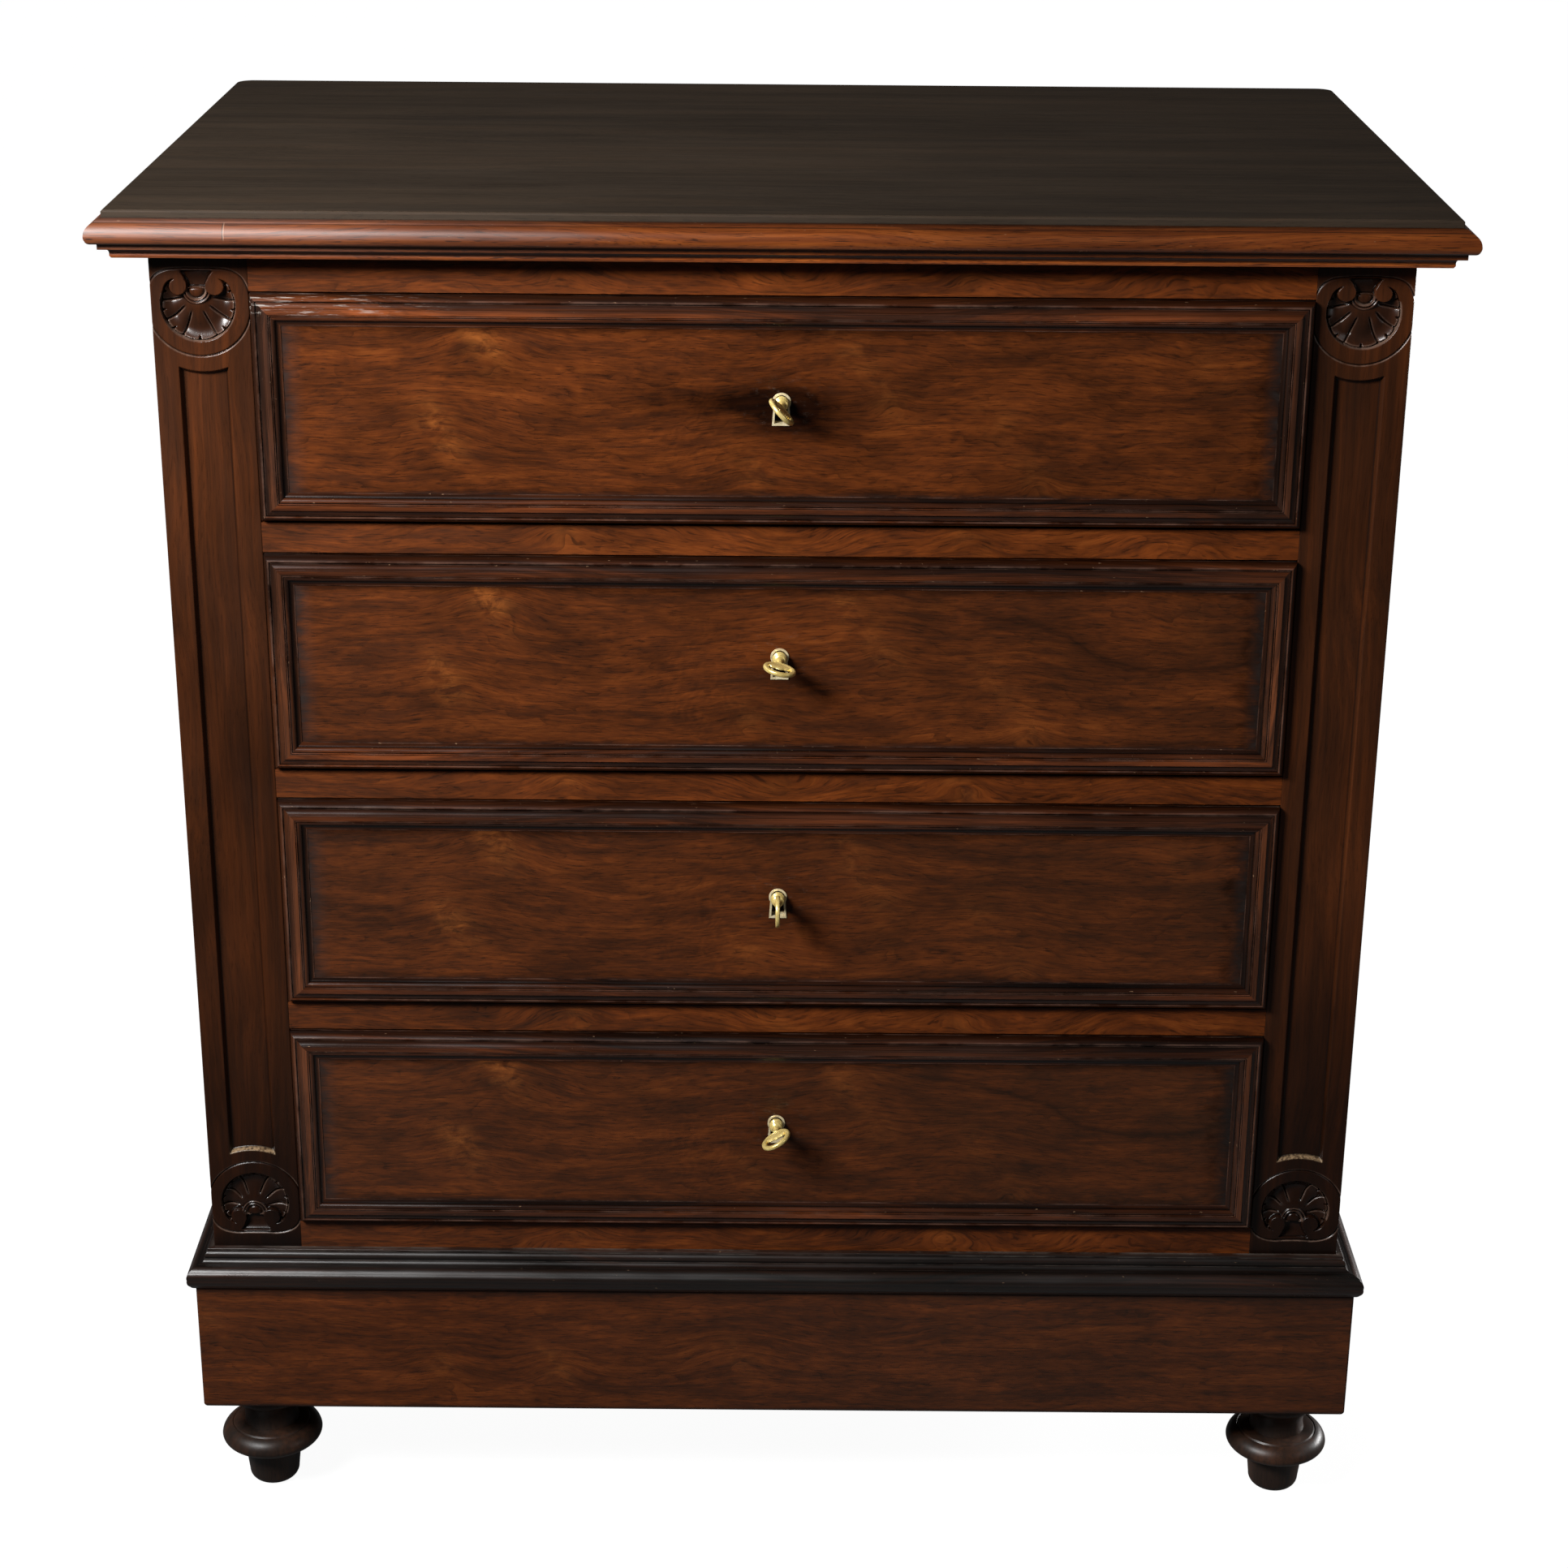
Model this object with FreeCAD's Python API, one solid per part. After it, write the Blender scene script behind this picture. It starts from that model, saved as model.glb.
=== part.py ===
import FreeCAD, Part
import math
import os

# A chest of four locking drawers between carved pilasters, on four turned feet.
# Millimetres. +X is to the viewer's right, +Y goes into the depth, +Z is up.
# Everything is drawn with y = 0 on the face of the carcass and z = 0 on the floor.
# It is moved once, along Y, so that the origin is the bottom centre of the whole.

# Carcass
CARCASS_WIDTH = 880.0
CARCASS_DEPTH = 546.0
SIDE_THICKNESS = 22.0
BACK_THICKNESS = 12.0
BACK_BOARD_COUNT = 5
BACK_REBATE = 11.0
BOTTOM_THICKNESS = 12.0
PILASTER_WIDTH = 68.5
PILASTER_THICKNESS = 30.0

# Rails, runners and guides
DRAWER_COUNT = 4
OPENING_HEIGHT = 167.4
RAIL_HEIGHT = 22.0
RAIL_DEPTH = 60.0
TOP_RAIL_HEIGHT = 38.5
RUNNER_BEARING = 26.0
GUIDE_HEIGHT = 24.0
STOP_PLACE = 200.0
STOP_WIDTH = 30.0
STOP_DEPTH = 18.0
STOP_HEIGHT = 6.0
STOP_GAP = 0.3

# Top board and the two mouldings under its edge
TOP_THICKNESS = 22.5
TOP_LIP_HEIGHT = 5.5
TOP_OVERHANG = 25.0
TOP_CORE_OVERHANG = 14.0
TOP_EASE = 1.2
TOP_BACK_CORNER_RADIUS = 14.0
TORUS_OVERHANG = 36.0
TORUS_FOOT_OVERHANG = 32.5
TORUS_NOSE_DROP = 10.5
COVE_HEIGHT = 11.5
COVE_FILLET_OVERHANG = 28.5
COVE_FILLET_HEIGHT = 4.5
COVE_TOP_OVERHANG = 24.5
COVE_FOOT_OVERHANG = 21.6

# Plinth and its moulding
PLINTH_HEIGHT = 110.0
PLINTH_THICKNESS = 22.0
PLINTH_OVERHANG = 13.8
PLINTH_CORNER_RADIUS = 6.0
PLINTH_MOULDING_HEIGHT = 30.4
PLINTH_FILLET_OVERHANG = 4.8
PLINTH_FILLET_HEIGHT = 2.0
PLINTH_BEAD_OVERHANG = 6.6
PLINTH_BEAD_HEIGHT = 5.0
PLINTH_SCOTIA_OVERHANG = 11.2
PLINTH_SCOTIA_HEIGHT = 3.4
PLINTH_TORUS_OVERHANG = 19.6
PLINTH_TORUS_HEIGHT = 19.0
CORNER_BLOCK_WIDTH = 75.0
CORNER_BLOCK_HEIGHT = 40.0

# Turned feet
FOOT_HEIGHT = 90.0
FOOT_INSET = 45.0
FOOT_COLLAR_RADIUS = 31.0
FOOT_COLLAR_HEIGHT = 13.5
FOOT_THROAT_RADIUS = 22.0
FOOT_BUN_RADIUS = 40.2
FOOT_BUN_DROP = 46.5
FOOT_BUN_CROWN = 11.5
FOOT_BUN_SKIRT = 6.0
FOOT_NECK_RADIUS = 22.2
FOOT_NECK_DROP = 62.0
FOOT_BASE_RADIUS = 20.0
FOOT_BASE_ROUNDING = 8.0
FOOT_LINE_RADIUS = 31.0
FOOT_LINE_DEPTH = 0.9
FOOT_TENON_RADIUS = 13.0
FOOT_TENON_LENGTH = 30.0
TENON_CLEARANCE = 0.2

# Carving on the pilasters
MEDALLION_INSET = 37.5
MEDALLION_RADIUS = 26.5
MEDALLION_RIM_DEPTH = 2.0
MEDALLION_BOWL_DEPTH = 5.5
MEDALLION_CROWN_DEPTH = 2.6
HUB_RISE = 9.0
HUB_RADIUS = 8.0
HUB_DEPTH = 1.2
VOLUTE_SPREAD = 13.6
VOLUTE_RISE = 12.6
VOLUTE_RADIUS = 6.3
LOBE_GROOVE_ANGLES = (26.0, 52.0, 86.0)
LOBE_CENTRE_RISE = 4.5
LOBE_GROOVE_WIDTH = 1.6
LOBE_GROOVE_DEPTH = 6.6
SCRIBED_RING_RADIUS = 36.5
SCRIBED_RING_WIDTH = 1.2
SCRIBED_RING_DEPTH = 0.9
SUNK_PANEL_WIDTH = 35.0
SUNK_PANEL_DEPTH = 4.0
SUNK_PANEL_BEVEL = 2.5
SUNK_PANEL_CLEAR_RADIUS = 46.8

# Drawer boxes
DRAWER_SIDE_GAP = 0.7
DRAWER_TOP_GAP = 1.2
DRAWER_FOOT_GAP = 1.6
DRAWER_RUN_GAP = 0.3
DRAWER_BACK_ROOM = 8.0
FRONT_THICKNESS = 22.0
FRONT_FIELD_RISE = 6.0
DRAWER_SIDE_THICKNESS = 12.0
DRAWER_SIDE_HEIGHT = 150.0
DRAWER_BACK_DROP = 10.0
DRAWER_BOTTOM_THICKNESS = 8.0
DRAWER_BOTTOM_RAISE = 8.0
DRAWER_GROOVE_DEPTH = 6.0
TAIL_COUNT = 3
TAIL_LENGTH = 14.0
TAIL_NARROW = 20.0
TAIL_FLARE = 3.5

# Moulding round each drawer front
FRAME_WIDTH = 20.5
FRAME_THUMB_WIDTH = 3.8
FRAME_EDGE_RISE = 2.0
FRAME_THUMB_RISE = 8.0
FRAME_QUIRK = 0.6
FRAME_HOLLOW_WIDTH = 4.2
FRAME_BEAD_RISE = 10.4
FRAME_BEAD_WIDTH = 1.2
FRAME_RIDGE_RISE = 11.2
FRAME_RIDGE_WIDTH = 3.0
FRAME_STEP = 1.8
FRAME_FILLET_WIDTH = 1.0
FRAME_COVE_FOOT_RISE = 6.8

# Locks, keys and the brass linings of the keyholes
KEY_RISE = 9.0
KEYHOLE_RADIUS = 5.1
KEYHOLE_NECK_HALF = 4.1
KEYHOLE_FOOT_HALF = 5.0
KEYHOLE_DROP = 15.4
ESCUTCHEON_WALL = 1.6
ESCUTCHEON_DEPTH = 8.0
ESCUTCHEON_RISE = 0.8
LOCK_WALL = 1.5
LOCK_PLATE_MARGIN = 7.0
LOCK_FIT = 0.2
SELVEDGE_DEPTH = 16.0
BOLT_WIDTH = 26.0
BOLT_THICKNESS = 7.0
BOLT_THROW = 7.0
BOLT_GAP = 0.3
BOLT_HEAD_HEIGHT = 18.0
BOLT_TAIL_THICKNESS = 3.0
BOLT_TAIL_RIM = 4.0
BOLT_SINK = 0.6
MORTISE_MARGIN = 1.0
MORTISE_DEPTH = 9.0
KEY_REST_TURNS = (-43.0, -77.0, 0.0, 60.0)
KEY_SHANK_RADIUS = 2.8
KEY_PIN_RADIUS = 1.75
KEY_PIN_CLEARANCE = 0.05
KEY_BIT_RADIUS = 6.2
KEY_BIT_THICKNESS = 2.0
KEY_BIT_LENGTH = 4.6
KEY_BIT_CLEARANCE = 0.5
KEY_WARD_DEPTH = 1.6
KEY_COLLAR_GAP = 1.2
KEY_COLLAR_RADIUS = 5.4
KEY_COLLAR_WAIST = 4.2
KEY_COLLAR_RING = 3.2
KEY_COLLAR_RINGS = 3
KEY_NECK_LENGTH = 8.0
BOW_RADIUS = 12.0
BOW_OPENING_RADIUS = 8.2
BOW_CUSP_RADIUS = 7.5
BOW_THICKNESS = 3.4
BOW_EASE = 0.7

# Worked out from the sizes above
HALF_WIDTH = CARCASS_WIDTH / 2
HALF_OPENING = HALF_WIDTH - PILASTER_WIDTH
SIDE_INNER = HALF_WIDTH - SIDE_THICKNESS
BACK_FRONT = CARCASS_DEPTH - BACK_THICKNESS
PILASTER_CENTRE = HALF_WIDTH - PILASTER_WIDTH / 2
PITCH = OPENING_HEIGHT + RAIL_HEIGHT
PLINTH_TOP = FOOT_HEIGHT + PLINTH_HEIGHT
MOULDING_TOP = PLINTH_TOP + PLINTH_MOULDING_HEIGHT
OPENING_TOP = MOULDING_TOP + DRAWER_COUNT * PITCH
CARCASS_TOP = OPENING_TOP + TOP_RAIL_HEIGHT
SOFFIT = CARCASS_TOP - COVE_HEIGHT
OVERALL_HEIGHT = CARCASS_TOP + TOP_THICKNESS
MEDALLION_TOP = SOFFIT - MEDALLION_INSET
MEDALLION_BOTTOM = MOULDING_TOP + MEDALLION_INSET
DRAWER_HALF = HALF_OPENING - DRAWER_SIDE_GAP
DRAWER_END = BACK_FRONT - DRAWER_BACK_ROOM
FIELD_HALF = DRAWER_HALF - FRAME_WIDTH
CAVITY_DEPTH = BOLT_THICKNESS + 2 * BOLT_GAP
CAVITY_FRONT = FRONT_THICKNESS - CAVITY_DEPTH
CASE_FRONT = CAVITY_FRONT - LOCK_WALL
CAVITY_HALF = BOLT_WIDTH / 2 + BOLT_GAP
CASE_HALF = CAVITY_HALF + LOCK_WALL
WINDOW_HALF = KEY_BIT_RADIUS + KEY_BIT_CLEARANCE
BOLT_DROP = WINDOW_HALF + BOLT_THROW + BOLT_TAIL_RIM
CASE_DROP = BOLT_DROP + BOLT_GAP + LOCK_WALL
BOLT_FRONT = CAVITY_FRONT + BOLT_GAP
ESCUTCHEON_FACE = -FRONT_FIELD_RISE - ESCUTCHEON_RISE
COLLAR_BACK = ESCUTCHEON_FACE - KEY_COLLAR_GAP
COLLAR_FRONT = COLLAR_BACK - KEY_COLLAR_RINGS * KEY_COLLAR_RING
BOW_CENTRE = COLLAR_FRONT - KEY_NECK_LENGTH - BOW_OPENING_RADIUS
FRONT_REACH = BOW_RADIUS - BOW_CENTRE
FRAME_SHIFT = (FRONT_REACH - CARCASS_DEPTH) / 2


def vec(x, y, z):
    return FreeCAD.Vector(x, y, z)


X_AXIS = vec(1, 0, 0)
Y_AXIS = vec(0, 1, 0)
Z_AXIS = vec(0, 0, 1)
ORIGIN = vec(0, 0, 0)


def block(x0, x1, y0, y1, z0, z1):
    return Part.makeBox(x1 - x0, y1 - y0, z1 - z0, vec(x0, y0, z0))


def outline(steps, to_space):
    """Closed wire; a step is a corner, or a pair (through, end) for an arc."""
    first = to_space(*steps[0])
    here = first
    edges = []
    for step in steps[1:]:
        if isinstance(step[0], tuple):
            through = to_space(*step[0])
            end = to_space(*step[1])
            edges.append(Part.Arc(here, through, end).toShape())
        else:
            end = to_space(*step)
            edges.append(Part.LineSegment(here, end).toShape())
        here = end
    if here.distanceToPoint(first) > Part.Precision.confusion():
        edges.append(Part.LineSegment(here, first).toShape())
    return Part.Wire(edges)


def face(steps, to_space):
    return Part.Face(outline(steps, to_space))


def corners(steps):
    """Every point that a list of steps passes through."""
    points = []
    for step in steps:
        if isinstance(step[0], tuple):
            points.extend(step)
        else:
            points.append(step)
    return points


def mirrored(shape, middle=0.0):
    return shape.mirror(vec(middle, 0, 0), X_AXIS)


def prism(points, to_space, along):
    return face(points, to_space).extrude(along)


def export(name, *shapes):
    """Write one node; several shapes stay separate solids in it."""
    whole = shapes[0] if len(shapes) == 1 else Part.makeCompound(list(shapes))
    whole.translate(vec(0, FRAME_SHIFT, 0))
    whole.exportStep("parts/" + name + ".step")


def bulged(start, end, bulge):
    """Step for an arc from start to end that swells to the left of the chord by bulge."""
    dx = end[0] - start[0]
    dz = end[1] - start[1]
    length = math.hypot(dx, dz)
    through = ((start[0] + end[0]) / 2 - dz / length * bulge, (start[1] + end[1]) / 2 + dx / length * bulge)
    return (through, end)


# Mouldings that run round the front and both sides, mitred at the front corners

def mitred_surround(section):
    """Front, left and right runs of a section given as (out from the carcass, up)."""
    outs = [point[0] for point in corners(section)]
    ups = [point[1] for point in corners(section)]
    outer = max(outs)
    inner = min(outs)
    low = min(ups)
    height = max(ups) - low
    reach = HALF_WIDTH + outer
    rise = vec(0, 0, height)
    front = prism(section, lambda out, up: vec(-reach, -out, up), vec(2 * reach, 0, 0))
    front_plan = (
        (-reach, -outer),
        (reach, -outer),
        (HALF_WIDTH + inner, -inner),
        (-HALF_WIDTH - inner, -inner),
    )
    front = front.common(prism(front_plan, lambda x, y: vec(x, y, low), rise))
    run = vec(0, outer + CARCASS_DEPTH, 0)
    right = prism(section, lambda out, up: vec(HALF_WIDTH + out, -outer, up), run)
    side_plan = (
        (HALF_WIDTH + inner, -inner),
        (reach, -outer),
        (reach, CARCASS_DEPTH),
        (HALF_WIDTH + inner, CARCASS_DEPTH),
    )
    right = right.common(prism(side_plan, lambda x, y: vec(x, y, low), rise))
    return front, mirrored(right), right


def torus_section():
    lip = OVERALL_HEIGHT - TOP_LIP_HEIGHT
    start = (TOP_OVERHANG, lip)
    nose = (TORUS_OVERHANG, lip - TORUS_NOSE_DROP)
    foot = (TORUS_FOOT_OVERHANG, CARCASS_TOP)
    upper = bulged(start, nose, (TORUS_OVERHANG - TOP_OVERHANG) / 4)
    lower = bulged(nose, foot, (TORUS_OVERHANG - TORUS_FOOT_OVERHANG) / 3)
    return ((TOP_CORE_OVERHANG, CARCASS_TOP), (TOP_CORE_OVERHANG, lip), start, upper, lower)


def cove_section():
    fillet = CARCASS_TOP - COVE_FILLET_HEIGHT
    top = (COVE_TOP_OVERHANG, fillet)
    nose = (COVE_FOOT_OVERHANG, SOFFIT + COVE_HEIGHT / 4)
    hollow = bulged(top, nose, -COVE_HEIGHT / 10)
    lower = (COVE_FOOT_OVERHANG - COVE_HEIGHT / 8, SOFFIT)
    return (
        (0, SOFFIT),
        (0, CARCASS_TOP),
        (COVE_FILLET_OVERHANG, CARCASS_TOP),
        (COVE_FILLET_OVERHANG, fillet),
        top,
        hollow,
        lower,
    )


def plinth_moulding_section():
    fillet = MOULDING_TOP - PLINTH_FILLET_HEIGHT
    bead_foot = fillet - PLINTH_BEAD_HEIGHT
    torus_top = PLINTH_TOP + PLINTH_TORUS_HEIGHT
    nose = (PLINTH_TORUS_OVERHANG, PLINTH_TOP + PLINTH_TORUS_HEIGHT / 2)
    bead_top = (PLINTH_FILLET_OVERHANG - PLINTH_FILLET_HEIGHT / 2, fillet)
    bead_end = (PLINTH_BEAD_OVERHANG, bead_foot)
    scotia_top = (PLINTH_BEAD_OVERHANG, torus_top + PLINTH_SCOTIA_HEIGHT)
    scotia_end = (PLINTH_SCOTIA_OVERHANG, torus_top)
    return (
        (0, PLINTH_TOP),
        (0, MOULDING_TOP),
        (PLINTH_FILLET_OVERHANG, MOULDING_TOP),
        (PLINTH_FILLET_OVERHANG, fillet),
        bead_top,
        bulged(bead_top, bead_end, PLINTH_BEAD_HEIGHT / 5),
        scotia_top,
        bulged(scotia_top, scotia_end, -PLINTH_SCOTIA_HEIGHT / 4),
        bulged(scotia_end, nose, PLINTH_TORUS_HEIGHT / 7),
        bulged(nose, (PLINTH_OVERHANG, PLINTH_TOP), PLINTH_TORUS_HEIGHT / 9),
    )


def plinth_section():
    inner = PLINTH_OVERHANG - PLINTH_THICKNESS
    start = (PLINTH_OVERHANG - PLINTH_CORNER_RADIUS, FOOT_HEIGHT)
    end = (PLINTH_OVERHANG, FOOT_HEIGHT + PLINTH_CORNER_RADIUS)
    rounding = bulged(start, end, -PLINTH_CORNER_RADIUS * (1 - math.sqrt(0.5)))
    return ((inner, FOOT_HEIGHT), start, rounding, (PLINTH_OVERHANG, PLINTH_TOP), (inner, PLINTH_TOP))


# Top, sides and back

def make_top_board():
    lip_half = HALF_WIDTH + TOP_OVERHANG
    core_half = HALF_WIDTH + TOP_CORE_OVERHANG
    lip_foot = OVERALL_HEIGHT - TOP_LIP_HEIGHT
    core = block(-core_half, core_half, -TOP_CORE_OVERHANG, CARCASS_DEPTH, CARCASS_TOP, lip_foot)
    lip = block(-lip_half, lip_half, -TOP_OVERHANG, CARCASS_DEPTH, lip_foot, OVERALL_HEIGHT)
    back_edges = [edge for edge in lip.Edges if edge.BoundBox.YMin > 0 and edge.BoundBox.ZLength > TOP_EASE]
    lip = lip.makeFillet(TOP_BACK_CORNER_RADIUS, back_edges)
    rim = [edge for edge in lip.Edges if edge.BoundBox.ZMin > lip_foot + TOP_EASE]
    return core.fuse(lip.makeChamfer(TOP_EASE, rim)).removeSplitter()


def make_side():
    """Right side board, rebated at the rear for the back boards."""
    board = block(SIDE_INNER, HALF_WIDTH, PILASTER_THICKNESS, CARCASS_DEPTH, PLINTH_TOP, CARCASS_TOP)
    rebate_edge = SIDE_INNER + BACK_REBATE
    rebate = block(SIDE_INNER, rebate_edge, BACK_FRONT, CARCASS_DEPTH, PLINTH_TOP, CARCASS_TOP)
    return board.cut(rebate)


def make_back_boards():
    half = SIDE_INNER + BACK_REBATE
    height = (CARCASS_TOP - PLINTH_TOP) / BACK_BOARD_COUNT
    boards = []
    for number in range(BACK_BOARD_COUNT):
        low = PLINTH_TOP + number * height
        boards.append(block(-half, half, BACK_FRONT, CARCASS_DEPTH, low, low + height))
    return boards


def make_bottom_board():
    top = MOULDING_TOP
    return block(-SIDE_INNER, SIDE_INNER, RAIL_DEPTH, BACK_FRONT, top - BOTTOM_THICKNESS, top)


# Rails across the front, and what the drawers run on

def opening_foot(number):
    """Height of the rail's top under drawer number, counted from 1 at the top."""
    return OPENING_TOP - (number - 1) * PITCH - OPENING_HEIGHT


def bolt_mortise(foot):
    """Pocket in the underside of a rail at height foot that takes the lock's bolt."""
    half = BOLT_WIDTH / 2 + MORTISE_MARGIN
    front = BOLT_FRONT - MORTISE_MARGIN
    back = BOLT_FRONT + BOLT_THICKNESS + MORTISE_MARGIN
    return block(-half, half, front, back, foot, foot + MORTISE_DEPTH)


def make_rail(foot, top, mortised):
    """Rail between the pilasters, widened behind them to reach the sides."""
    front = block(-HALF_OPENING, HALF_OPENING, 0, PILASTER_THICKNESS, foot, top)
    rear = block(-SIDE_INNER, SIDE_INNER, PILASTER_THICKNESS, RAIL_DEPTH, foot, top)
    rail = front.fuse(rear).removeSplitter()
    if mortised:
        rail = rail.cut(bolt_mortise(foot))
    return rail


def make_runner(top):
    return block(HALF_OPENING - RUNNER_BEARING, SIDE_INNER, RAIL_DEPTH, BACK_FRONT, top - RAIL_HEIGHT, top)


def make_guide(foot):
    return block(HALF_OPENING, SIDE_INNER, PILASTER_THICKNESS, BACK_FRONT, foot, foot + GUIDE_HEIGHT)


def make_stop(foot):
    """Block on a rail that the back of a drawer front closes against."""
    start = FRONT_THICKNESS + STOP_GAP
    return block(STOP_PLACE, STOP_PLACE + STOP_WIDTH, start, start + STOP_DEPTH, foot, foot + STOP_HEIGHT)


def both_sides(shapes):
    return [mirrored(shape) for shape in shapes] + shapes


def make_runners():
    tops = [opening_foot(number) for number in range(1, DRAWER_COUNT + 1)]
    tops.append(OPENING_TOP + RAIL_HEIGHT)
    return both_sides([make_runner(top) for top in tops])


def make_guides():
    return both_sides([make_guide(opening_foot(number)) for number in range(1, DRAWER_COUNT + 1)])


def make_stops():
    return both_sides([make_stop(opening_foot(number)) for number in range(1, DRAWER_COUNT + 1)])


# Pilasters with a sunk panel between two carved medallions

def spin_profile(steps, centre_x, centre_z):
    """Solid turned about an axis along Y from steps given as (radius, depth)."""
    half = face(steps, lambda radius, depth: vec(centre_x + radius, depth, centre_z))
    return half.revolve(vec(centre_x, 0, centre_z), Y_AXIS, 360)


def medallion_tool(centre_z, up):
    """What is cut away for one shell; up is 1, or -1 where it is upside down."""
    middle = MEDALLION_RADIUS / 2
    rim = (MEDALLION_RADIUS, MEDALLION_RIM_DEPTH)
    sag = (MEDALLION_BOWL_DEPTH - MEDALLION_CROWN_DEPTH) / 2
    crown_edge = (middle, MEDALLION_CROWN_DEPTH + sag)
    bowl_bottom = ((MEDALLION_RADIUS + middle) / 2, MEDALLION_BOWL_DEPTH)
    ball = (middle ** 2 + sag ** 2) / (2 * sag)
    half_way = (middle / 2, MEDALLION_CROWN_DEPTH + ball - math.sqrt(ball ** 2 - (middle / 2) ** 2))
    crown_arc = (half_way, (0, MEDALLION_CROWN_DEPTH))
    steps = ((0, 0), (MEDALLION_RADIUS, 0), rim, (bowl_bottom, crown_edge), crown_arc)
    bowl = spin_profile(steps, PILASTER_CENTRE, centre_z)
    for side in (-1, 1):
        place = vec(PILASTER_CENTRE + side * VOLUTE_SPREAD, 0, centre_z + up * VOLUTE_RISE)
        bowl = bowl.cut(Part.makeCylinder(VOLUTE_RADIUS, MEDALLION_BOWL_DEPTH, place, Y_AXIS))
    hub_place = vec(PILASTER_CENTRE, HUB_DEPTH, centre_z + up * HUB_RISE)
    return bowl.cut(Part.makeCylinder(HUB_RADIUS, MEDALLION_BOWL_DEPTH, hub_place, Y_AXIS))


def lobe_groove(centre_z, up, degrees):
    """V-shaped groove from near the hub out to the rim of the shell."""
    fan_z = centre_z + up * LOBE_CENTRE_RISE
    length = MEDALLION_RADIUS - LOBE_CENTRE_RISE / 2
    half = LOBE_GROOVE_WIDTH / 2
    deep = MEDALLION_BOWL_DEPTH
    section = ((-half, 0), (half, 0), (half, deep), (0, LOBE_GROOVE_DEPTH), (-half, deep))
    start_z = fan_z - up * HUB_RADIUS
    bar = prism(section, lambda x, y: vec(PILASTER_CENTRE + x, y, start_z), vec(0, 0, -up * length))
    bar.rotate(vec(PILASTER_CENTRE, 0, fan_z), Y_AXIS, degrees)
    rim = vec(PILASTER_CENTRE, 0, centre_z)
    return bar.common(Part.makeCylinder(MEDALLION_RADIUS, LOBE_GROOVE_DEPTH, rim, Y_AXIS))


def scribed_ring(centre_z):
    inner = SCRIBED_RING_RADIUS - SCRIBED_RING_WIDTH / 2
    outer = SCRIBED_RING_RADIUS + SCRIBED_RING_WIDTH / 2
    steps = ((inner, 0), (outer, 0), (SCRIBED_RING_RADIUS, SCRIBED_RING_DEPTH))
    return spin_profile(steps, PILASTER_CENTRE, centre_z)


def sunk_outline(half, radius, depth):
    """Sunk panel's outline: straight sides, ends concentric with the medallions."""
    drop = math.sqrt(radius ** 2 - half ** 2)
    top = MEDALLION_TOP - drop
    bottom = MEDALLION_BOTTOM + drop
    steps = (
        (-half, bottom),
        ((0, MEDALLION_BOTTOM + radius), (half, bottom)),
        (half, top),
        ((0, MEDALLION_TOP - radius), (-half, top)),
    )
    return outline(steps, lambda x, z: vec(PILASTER_CENTRE + x, depth, z))


def sunk_panel():
    half = SUNK_PANEL_WIDTH / 2
    wide = sunk_outline(half, SUNK_PANEL_CLEAR_RADIUS, 0)
    inner_radius = SUNK_PANEL_CLEAR_RADIUS + SUNK_PANEL_BEVEL
    narrow = sunk_outline(half - SUNK_PANEL_BEVEL, inner_radius, SUNK_PANEL_DEPTH)
    return Part.makeLoft([wide, narrow], True, True)


def make_pilaster():
    """Right pilaster, carved from one board."""
    board = block(HALF_OPENING, HALF_WIDTH, 0, PILASTER_THICKNESS, PLINTH_TOP, CARCASS_TOP)
    board = board.cut(sunk_panel())
    for centre_z, up in ((MEDALLION_TOP, 1), (MEDALLION_BOTTOM, -1)):
        board = board.cut(scribed_ring(centre_z))
        board = board.cut(medallion_tool(centre_z, up))
        for degrees in LOBE_GROOVE_ANGLES:
            board = board.cut(lobe_groove(centre_z, up, degrees))
            board = board.cut(lobe_groove(centre_z, up, -degrees))
    return board


# Plinth, corner blocks and turned feet

def make_plinth():
    front, left, right = mitred_surround(plinth_section())
    inner = HALF_WIDTH + PLINTH_OVERHANG - PLINTH_THICKNESS
    back = block(-inner, inner, CARCASS_DEPTH - PLINTH_THICKNESS, CARCASS_DEPTH, FOOT_HEIGHT, PLINTH_TOP)
    return front, left, right, back


def foot_places():
    """Names and centres of the four feet, inset alike from the plinth's outer faces."""
    x = HALF_WIDTH + PLINTH_OVERHANG - FOOT_INSET
    front = FOOT_INSET - PLINTH_OVERHANG
    back = CARCASS_DEPTH - FOOT_INSET
    return (
        ("front_left", -x, front),
        ("front_right", x, front),
        ("rear_left", -x, back),
        ("rear_right", x, back),
    )


def make_corner_blocks():
    outer_x = HALF_WIDTH + PLINTH_OVERHANG - PLINTH_THICKNESS
    front = PLINTH_THICKNESS - PLINTH_OVERHANG
    back = CARCASS_DEPTH - PLINTH_THICKNESS
    bore = FOOT_TENON_RADIUS + TENON_CLEARANCE
    blocks = []
    for name, x, y in foot_places():
        near_x = math.copysign(outer_x, x)
        far_x = math.copysign(outer_x - CORNER_BLOCK_WIDTH, x)
        near_y = front if name.startswith("front") else back - CORNER_BLOCK_WIDTH
        far_y = near_y + CORNER_BLOCK_WIDTH
        top = FOOT_HEIGHT + CORNER_BLOCK_HEIGHT
        wood = block(min(near_x, far_x), max(near_x, far_x), near_y, far_y, FOOT_HEIGHT, top)
        depth = FOOT_TENON_LENGTH + TENON_CLEARANCE
        blocks.append(wood.cut(Part.makeCylinder(bore, depth, vec(x, y, FOOT_HEIGHT), Z_AXIS)))
    return blocks


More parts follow.
